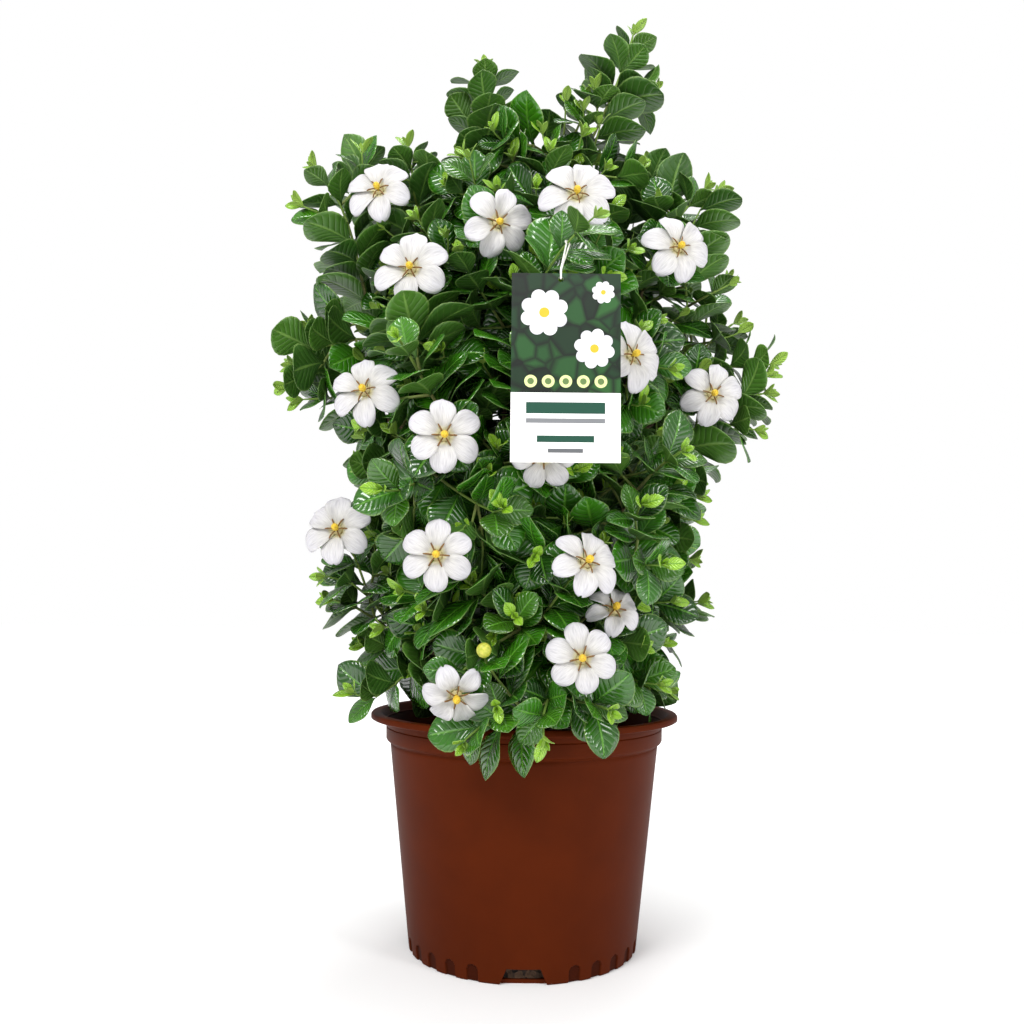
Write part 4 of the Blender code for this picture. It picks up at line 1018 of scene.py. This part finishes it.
def leaf_skin(name, dark, light, young, vein, roughness, shine):
    """Leaf skin: side veins sunk in a puffed blade, with a pale midrib, and a pale margin painted as a
    highlight along the edge.
    """
    made, shader, add = new_material(name, dark, roughness)
    uv = add("UVMap", uv_map="blade")
    along = add("SeparateXYZ", (uv,), 0)
    across = add("Math", (add("SeparateXYZ", (uv,), 1),), operation="ABSOLUTE")
    age = add("Attribute", (), "Fac", attribute_name="age")
    tint = add("Attribute", (), "Fac", attribute_name="tint")
    # Side veins run out and forward from the midrib, and the blade puffs up between them.
    forward = add("Math", (along, SIDE_VEINS), operation="MULTIPLY")
    lean = add("Math", (across, VEIN_LEAN), operation="MULTIPLY")
    phase = add("Math", (forward, lean), operation="SUBTRACT")
    wave = add("Math", (add("Math", (phase, math.pi), operation="MULTIPLY"),), operation="SINE")
    wave = add("Math", (wave,), operation="ABSOLUTE")
    puff = add("Math", (wave, 0.35), operation="POWER")
    rib = add("Math", (add("Math", (across, 9.0), operation="MULTIPLY"), 1.0), operation="MINIMUM")
    height = add("Math", (puff, rib), operation="MULTIPLY")
    grown = add("Mix", {0: tint, 6: dark, 7: light}, 2, data_type="RGBA")
    body = add("Mix", {0: age, 6: young, 7: grown}, 2, data_type="RGBA")
    flank = add("Math", (height, 0.5), operation="POWER")
    veined = add("Mix", {0: flank, 6: vein, 7: body}, 2, data_type="RGBA")
    soft = add("Mix", {0: 0.55, 6: veined, 7: body}, 2, data_type="RGBA")
    patches = {"Vector": add("TexCoord", out="Object"), "Scale": 1 / LEAF_PATCH, "Detail": 3.0}
    patch = add("Math", (add("TexNoise", patches), 0.35), operation="MULTIPLY")
    shade = add("Mix", {0: patch, 6: soft, 7: dark}, 2, data_type="RGBA")
    midrib = add("Math", (add("Math", (across, 0.06), operation="LESS_THAN"), 0.6), operation="MULTIPLY")
    shade = add("Mix", {0: midrib, 6: shade, 7: vein}, 2, data_type="RGBA")
    # The pale margin is a painted highlight along the blade's edge.
    edge = add("Math", (add("Math", (across, 0.93), operation="GREATER_THAN"), 0.35), operation="MULTIPLY")
    feed(
        shader,
        {
            "Base Color": add("Mix", {0: edge, 6: shade, 7: "#8fae5c"}, 2, data_type="RGBA"),
            "Normal": add("Bump", {"Strength": 0.75, "Distance": 0.0010, "Height": height}),
            "Specular IOR Level": shine,
        },
    )
    return made


# Upper side: waxy cuticle over dark green, so it is glossy with sharp highlights.
LEAF_TOP = leaf_skin("leaf_upper_cuticle", "#163d0a", "#37790f", "#94c42c", "#5f9a30", 0.17, 0.75)
# Underside: matt and paler, with raised veins.
LEAF_UNDER = leaf_skin("leaf_underside", "#31591b", "#4c7a27", "#a3c94f", "#7fa650", 0.40, 0.5)


def thicken(piece, depth, under):
    """Gives a blade its thickness; the lower skin takes the underside's material."""
    skin = piece.modifiers.new("thickness", "SOLIDIFY")
    skin.thickness = depth
    skin.offset = -1.0
    skin.material_offset = under
    skin.material_offset_rim = under


def sheet_faces(rows, columns, start):
    """Four-cornered faces of a sheet of rows and columns of vertices."""
    faces = []
    for i in range(rows - 1):
        for k in range(columns - 1):
            a = start + i * columns + k
            faces.append((a, a + columns, a + columns + 1, a + 1))
    return faces


def leaf_half_width(u):
    """Half-width of a leaf blade, as a share of its greatest, at the share u of its length."""
    if u < 0.08:
        return 0.07
    s = (u - 0.06) / 0.94
    return max(0.07, math.sin(math.pi * min(s, 1.0) ** 1.22) ** 0.72) if s < 0.999 else 0.05


green = {"leaf"} | {"twig%d" % number for number in range(len(twigs))}


def grown_leaf(leaf, wanted):
    """The leaf at the wanted growth, or as it is where that would reach a flower or the tag."""
    base, aim, normal, length, width = leaf
    larger = (base, aim, normal, length * wanted, width * wanted)
    return leaf if space.hits(*leaf_hull(*larger, STALK), skip=green) else larger


def leaf_points(leaf, twist):
    base, aim, normal, length, width = leaf
    side = normal.cross(aim)
    points = []
    for u in ALONG:
        half = width / 2 * leaf_half_width(u)
        arch = length * (0.20 * u * (1 - u) - 0.05 * u * u * u)
        for v in ACROSS:
            lift = abs(v) * half * 0.28 - v * v * half * 0.22
            lift += math.sin(u * 9.0 + twist + (1.5 if v > 0 else 0)) * abs(v) * width * 0.028
            points.append(base + aim * (length * u) + side * (v * half) + normal * (arch + lift))
    return points


STEM_SIDES = 8
for shoot in range(len(LEADERS)):
    node = "shoot_%02d" % (shoot + 1)
    verts = []
    faces = []
    ages = []
    for twig in twigs:
        if twig.shoot != shoot:
            continue
        way = twig.ways[-1]
        points = list(twig.points)
        radii = [r * 0.9 for r in twig.radii]
        # A leafy twig ends in a point, and a flower's twig in the green cup that holds the flower.
        if twig.flower is None:
            points.append(points[-1] + way * 0.0035)
            radii.append(0.0003)
        else:
            points += [points[-1] + way * 0.002, points[-1] + way * 0.006]
            radii += [0.0026, 0.0024]
        add_tube(points, radii, STEM_SIDES, verts, faces)
        for i in range(len(points)):
            share = i / len(points)
            age = min(1.0, (0.75 - share) * 2.2) if twig.leafy == LEADER_LEAFY else 0.5 - share
            ages += [max(0.0, age)] * STEM_SIDES
    mesh_piece("stems_%02d" % (shoot + 1), node, "leaf", verts, faces, [STEM], {"age": ages})

    verts = []
    faces = []
    ages = []
    tints = []
    for number, (owner, leaf, age) in enumerate(leaves):
        if owner != shoot:
            continue
        tint = rng.random()
        leaf = grown_leaf(leaf, PACKED_GROWTH if number < packed_leaves else FINE_GROWTH)
        faces += sheet_faces(len(ALONG), len(ACROSS), len(verts))
        points = leaf_points(leaf, tint * 6.0)
        verts += points
        ages += [min(1.0, age * 2.6)] * len(points)
        tints += [tint] * len(points)
    uvs = [(u, v) for u in ALONG for v in ACROSS] * (len(verts) // (len(ALONG) * len(ACROSS)))
    looks = {"age": ages, "tint": tints}
    skins = [LEAF_TOP, LEAF_UNDER]
    blades = mesh_piece("leaves_%02d" % (shoot + 1), node, "leaf", verts, faces, skins, looks, uvs)
    thicken(blades, BLADE, 1)

# --------------------------------------------------------------------- flowers
# Each single flower has six broad petals that overlap a little and curl back at their tips, on a narrow
# throat. In its middle a yellow stigma club stands over six dry anthers that lie between the petals.
PETAL_ALONG = [0.0, 0.08, 0.18, 0.30, 0.42, 0.54, 0.66, 0.76, 0.85, 0.92, 0.965, 0.99, 1.0]
PETAL_ACROSS = [-1.0, -0.66, -0.33, 0.0, 0.33, 0.66, 1.0]
PETAL_THICKNESS = 0.0004
PETAL_ROOT = 0.0030
THROAT_SIDES = 16
THROAT = [(-THROAT_LENGTH, 0.0018), (-0.008, 0.0021), (-0.0032, 0.0030), (-0.0010, 0.0042)]
CLUB = [
    (-0.001, 0.0010),
    (0.002, 0.0016),
    (0.0035, 0.0026),
    (0.0055, 0.0030),
    (0.0075, 0.0026),
    (0.0090, 0.0014),
]
# Each anther: distance out, height and radius.
ANTHERS = [
    (0.0018, 0.0016, 0.0004),
    (0.0045, 0.0026, 0.0006),
    (0.0075, 0.0028, 0.0007),
    (0.0095, 0.0022, 0.0005),
    (0.0108, 0.0012, 0.0002),
]
# Pollen grains and the anthers' dry skin are far under 1 mm, and are drawn at 1 mm so that they show.
GRAIN = 0.001

# Petal: thick, velvety and white, creamier at the throat. Faint grey veins run along it, 9 mm long and 0.7 mm
# apart, which are 3.2 to its length and 14.4 to its half-width. Their grey is partly painted shade of fine
# folds.
PETAL, shader, add = new_material("gardenia_petal", "#dddbde", 0.6)
uv = add("UVMap", uv_map="blade")
along = add("SeparateXYZ", (uv,), 0)
tones = ((0.0, "#b99a3a"), (0.08, "#d8d2a4"), (0.20, "#c8c6c0"), (1.0, "#cbc9ce"))
throat_tone = add("ValToRGB", (along,), stops=tones)
stretched = (
    add("Math", (along, 2.0), operation="MULTIPLY"),
    add("Math", (add("SeparateXYZ", (uv,), 1), 9.0), operation="MULTIPLY"),
)
veins = add("TexNoise", {"Vector": add("CombineXYZ", stretched), "Scale": 1.6, "Detail": 4.0})
# The grey streaks are faint veins, darkened further as painted shade of the petal's folds.
vein_and_fold_shade = add("ValToRGB", (veins,), stops=((0.35, "#bdbbc2"), (0.60, "#ffffff")))
veined = {0: 0.45, 6: throat_tone, 7: vein_and_fold_shade}
feed(
    shader,
    {
        "Base Color": add("Mix", veined, 2, data_type="RGBA", blend_type="MULTIPLY"),
        "Normal": add("Bump", {"Strength": 0.5, "Distance": 0.0008, "Height": veins}),
        "Subsurface Weight": 0.25,
        "Subsurface Radius": (0.004, 0.004, 0.003),
    },
)

# Stigma: bright yellow and dusted with pollen, so it looks rough.
STIGMA, shader, add = new_material("stigma_pollen", "#efc01c", 0.6)
pollen = add("TexNoise", {"Vector": add("TexCoord", out="Object"), "Scale": 1 / GRAIN, "Detail": 3.0})
feed(
    shader,
    {
        "Base Color": add("ValToRGB", (pollen,), stops=((0.35, "#c08c12"), (0.6, "#e6c834"))),
        "Normal": add("Bump", {"Strength": 0.9, "Distance": 0.0012, "Height": pollen}),
    },
)
# Spent anthers: dry amber brown.
ANTHER, shader, add = new_material("anther", "#8f6524", 0.65)
dry = add("TexNoise", {"Vector": add("TexCoord", out="Object"), "Scale": 1 / GRAIN})
feed(shader, {"Base Color": add("ValToRGB", (dry,), stops=((0.3, "#553710"), (0.7, "#835c22")))})


def petal_half_width(u):
    """Half-width of a petal, as a share of its greatest, at the share u of its length."""
    if u < 0.62:
        return 0.15 + 0.85 * math.sin(math.pi / 2 * u / 0.62) ** 1.2
    return math.sqrt(max(0.0, 1.0 - ((u - 0.62) / 0.384) ** 2.3))


for number, (centre, facing, radius) in enumerate(FLOWERS):
    axis, across, up = flower_frame(facing)
    twist, cup = flower_turns[number]
    place = Vector(centre)
    corolla = "corolla_%02d" % (number + 1)
    verts = []
    faces = []
    for k in range(6):
        turn = twist + k * math.pi / 3
        ray = across * math.cos(turn) + up * math.sin(turn)
        side = axis.cross(ray)
        lean = rng.uniform(-0.07, 0.07)
        bow = rng.uniform(0.5, 1.5)
        long = rng.uniform(0.93, 1.03)
        wide = rng.uniform(0.88, 1.02)
        faces += sheet_faces(len(PETAL_ALONG), len(PETAL_ACROSS), len(verts))
        for u in PETAL_ALONG:
            half = radius * 0.355 * wide * petal_half_width(u)
            reach = PETAL_ROOT + (radius * long - PETAL_ROOT) * u
            for v in PETAL_ACROSS:
                # Rise from the throat, curl back, cupped sides, a groove down the middle, slow waves.
                height = -0.0025 + 0.0040 * math.sin(math.pi * min(1.0, u * 0.9)) + cup * u
                height -= 0.0035 * bow * u**3
                height += (v * v * 0.0026 + v * 0.0014) * math.sin(math.pi * u) - v * v * 0.0022 * u**4
                height -= 0.0009 * math.exp(-((v / 0.22) ** 2)) * math.sin(math.pi * u)
                height += 0.0006 * math.sin(6 * u + 4 * v + 2 * k)
                verts.append(place + ray * reach + side * (v * half + lean * reach) + axis * height)
    uvs = [(u, v) for u in PETAL_ALONG for v in PETAL_ACROSS] * 6
    petals = mesh_piece("petals_%02d" % (number + 1), corolla, "petal", verts, faces, [PETAL], (), uvs)
    thicken(petals, PETAL_THICKNESS, 0)

    verts, faces = tube_mesh([place + axis * h for h, r in THROAT], [r for h, r in THROAT], THROAT_SIDES)
    uvs = [(0.3 - 0.25 * (i // THROAT_SIDES) / 3, 0.0) for i in range(len(verts))]
    mesh_piece("throat_%02d" % (number + 1), corolla, "petal", verts, faces, [PETAL], (), uvs)

    verts, faces = tube_mesh([place + axis * h for h, r in CLUB], [r for h, r in CLUB], 14)
    skins = [0] * len(faces)
    for k in range(6):
        turn = twist + (k + 0.5) * math.pi / 3
        ray = across * math.cos(turn) + up * math.sin(turn)
        points = [place + ray * out + axis * h for out, h, r in ANTHERS]
        add_tube(points, [r for out, h, r in ANTHERS], 6, verts, faces)
    skins += [1] * (len(faces) - len(skins))
    finishes = [STIGMA, ANTHER]
    stigma = "stigma_%02d" % (number + 1)
    mesh_piece("stamens_%02d" % (number + 1), stigma, "stigma", verts, faces, finishes, skins=skins)

# -------------------------------------------------------------------- care tag
# Coated card, printed on its front only. Above is a made-up picture of dark foliage with three daisies
# and a row of dots, and below it a white panel with plain bars. Its back is bare.
ASPECT = 1.75
CARD_LEAF_CELLS = 5.5
DAISIES = ((0.30, 0.79, 0.25), (0.76, 0.60, 0.21), (0.84, 0.90, 0.12))
# Each bar: its lower and upper edge, its left and right end, and its colour.
BARS = (
    (0.255, 0.315, 0.14, 0.86, "#134434"),
    (0.205, 0.230, 0.14, 0.86, "#77797c"),
    (0.172, 0.176, 0.06, 0.94, "#9a9a9a"),
    (0.105, 0.140, 0.24, 0.76, "#134434"),
    (0.050, 0.072, 0.34, 0.66, "#5d5f62"),
)
CARD, shader, add = new_material("coated_card", "#f4f4f2", 0.35)


def card_share(axis):
    """The share of the card's width (axis 0) or height (axis 2)."""
    spot = add("SeparateXYZ", (add("NewGeometry", (), "Position"),), axis)
    low = TAG_CENTRE[axis] - TAG_SIZE[axis] / 2
    return add("Math", (add("Math", (spot, low), operation="SUBTRACT"), TAG_SIZE[axis]), operation="DIVIDE")


def disc(x, y, size):
    """1 inside a disc on the card, 0 outside."""
    dx = add("Math", (across, x), operation="SUBTRACT")
    dy = add("Math", (add("Math", (upward, y), operation="SUBTRACT"), ASPECT), operation="MULTIPLY")
    squares = [add("Math", (d, d), operation="MULTIPLY") for d in (dx, dy)]
    return add("Math", (add("Math", squares, operation="ADD"), size * size), operation="LESS_THAN")


def bar(x0, x1, y0, y1):
    """1 inside a bar on the card, 0 outside."""
    inside = add("Math", (across, x0), operation="GREATER_THAN")
    tests = ((across, x1, "LESS_THAN"), (upward, y0, "GREATER_THAN"), (upward, y1, "LESS_THAN"))
    for place, edge, test in tests:
        side = add("Math", (place, edge), operation=test)
        inside = add("Math", (inside, side), operation="MULTIPLY")
    return inside


def printed(art, where, colour):
    """The print so far, with one more colour printed over it."""
    return add("Mix", {0: where, 6: art, 7: colour}, 2, data_type="RGBA")


across = card_share(0)
upward = card_share(2)
flat = add("CombineXYZ", (across, add("Math", (upward, ASPECT), operation="MULTIPLY")))
cells = {"Vector": flat, "Scale": CARD_LEAF_CELLS}
leaf_tone = add("TexVoronoi", cells, "Color")
seam = add("TexVoronoi", cells, "Distance", feature="DISTANCE_TO_EDGE")
leafy = add("ValToRGB", (leaf_tone,), stops=((0.15, "#07190b"), (0.55, "#123719"), (0.95, "#265722")))
shadow = add("ValToRGB", (seam,), stops=((0.0, "#20302a"), (0.16, "#ffffff")))
art = add("Mix", {0: 0.85, 6: leafy, 7: shadow}, 2, data_type="RGBA", blend_type="MULTIPLY")
for x, y, size in DAISIES:
    for k in range(8):
        turn = 2 * math.pi * k / 8 + x * 9
        petal = disc(x + size * 0.62 * math.cos(turn), y + size * 0.62 * math.sin(turn) / ASPECT, size * 0.27)
        art = printed(art, petal, "#d9d8dc" if k % 2 else "#c9c8ce")
    art = printed(art, disc(x, y, size * 0.42), "#dddce0")
    art = printed(art, disc(x, y, size * 0.19), "#d9a928")
for k in range(5):
    art = printed(art, disc(0.18 + 0.16 * k, 0.425, 0.058), "#d3de96")
    art = printed(art, disc(0.18 + 0.16 * k, 0.425, 0.030), "#5b7442")
art = printed(art, bar(-1.0, 2.0, -1.0, 0.365), "#f6f6f4")
for y0, y1, x0, x1, tone in BARS:
    art = printed(art, bar(x0, x1, y0, y1), tone)
facing = add("SeparateXYZ", (add("NewGeometry", (), "Normal"),), 1)
front = add("Math", (facing, -0.5), operation="LESS_THAN")
feed(shader, {"Base Color": add("Mix", {0: front, 6: "#f0f0ee", 7: art}, 2, data_type="RGBA")})
refinish("tag_card", CARD)

# ---------------------------------------------------------------------- studio
# A sweep of white paper under soft area lights. The paper brightens away from the pot, so that it meets
# the white room without an edge.
GLOW_START = 0.30
GLOW_END = 1.40
GLOW = 0.52
AMBIENT = 0.5
PAPER, shader, add = new_material("white_paper_sweep", "#fbfbfb", 0.9)
spread = add("VectorMath", (add("NewGeometry", (), "Position"),), "Value", operation="LENGTH")
reach = {"Value": spread, "From Min": GLOW_START, "From Max": GLOW_END, "To Min": 0.0, "To Max": GLOW}
glow = add("MapRange", reach, "Result", interpolation_type="SMOOTHSTEP")
feed(shader, {"Emission Color": "#ffffff", "Emission Strength": glow})
floor_mesh = bpy.data.meshes.new("floor")
floor_mesh.from_pydata([(-6, -4, 0), (6, -4, 0), (6, 8, 0), (-6, 8, 0)], [], [(0, 1, 2, 3)])
floor_mesh.materials.append(PAPER)
floor = bpy.data.objects.new("floor", floor_mesh)
bpy.context.scene.collection.objects.link(floor)


def area_light(name, place, aim_height, size, power):
    """A rectangular soft light that points at the plant's axis."""
    data = bpy.data.lights.new(name, "AREA")
    data.shape = "RECTANGLE"
    data.size, data.size_y = size
    data.energy = power
    made = bpy.data.objects.new(name, data)
    made.location = place
    aim = Vector((0, 0, aim_height)) - Vector(place)
    made.rotation_euler = aim.to_track_quat("-Z", "Y").to_euler()
    bpy.context.scene.collection.objects.link(made)


area_light("key", (-1.1, -1.7, 2.0), 0.45, (0.9, 0.9), 44)
area_light("fill", (1.6, -1.5, 1.1), 0.40, (0.5, 1.0), 17)
area_light("front_strip", (0.1, -1.7, 1.5), 0.50, (1.6, 0.25), 9)
area_light("top", (0.2, 0.4, 2.6), 0.50, (1.2, 1.2), 36)

# The room lights the plant at half strength, and shows as plain white behind it.
world = bpy.data.worlds.new("studio")
bpy.context.scene.world = world
world.use_nodes = True
seen = add_node(world.node_tree, "LightPath", (), "Is Camera Ray")
extra = add_node(world.node_tree, "Math", (seen, 1.0 - AMBIENT), operation="MULTIPLY")
strength = add_node(world.node_tree, "Math", (extra, AMBIENT), operation="ADD")
feed(world.node_tree.nodes["Background"], {"Color": "#ffffff", "Strength": strength})
bpy.context.scene.view_settings.view_transform = "Standard"

# A 35 mm lens 0.3 m above the ground and 0.9 m in front of the pot's axis, tipped up a little.
camera_data = bpy.data.cameras.new("camera")
camera_data.lens = 35.16
camera = bpy.data.objects.new("camera", camera_data)
bpy.context.scene.collection.objects.link(camera)
camera.matrix_world = (
    Matrix.Translation((-0.0126, -0.9138, 0.3055))
    @ Matrix.Rotation(math.pi / 2 + 0.0837, 4, "X")
    @ Matrix.Rotation(0.0099, 4, "Z")
)
bpy.context.scene.camera = camera
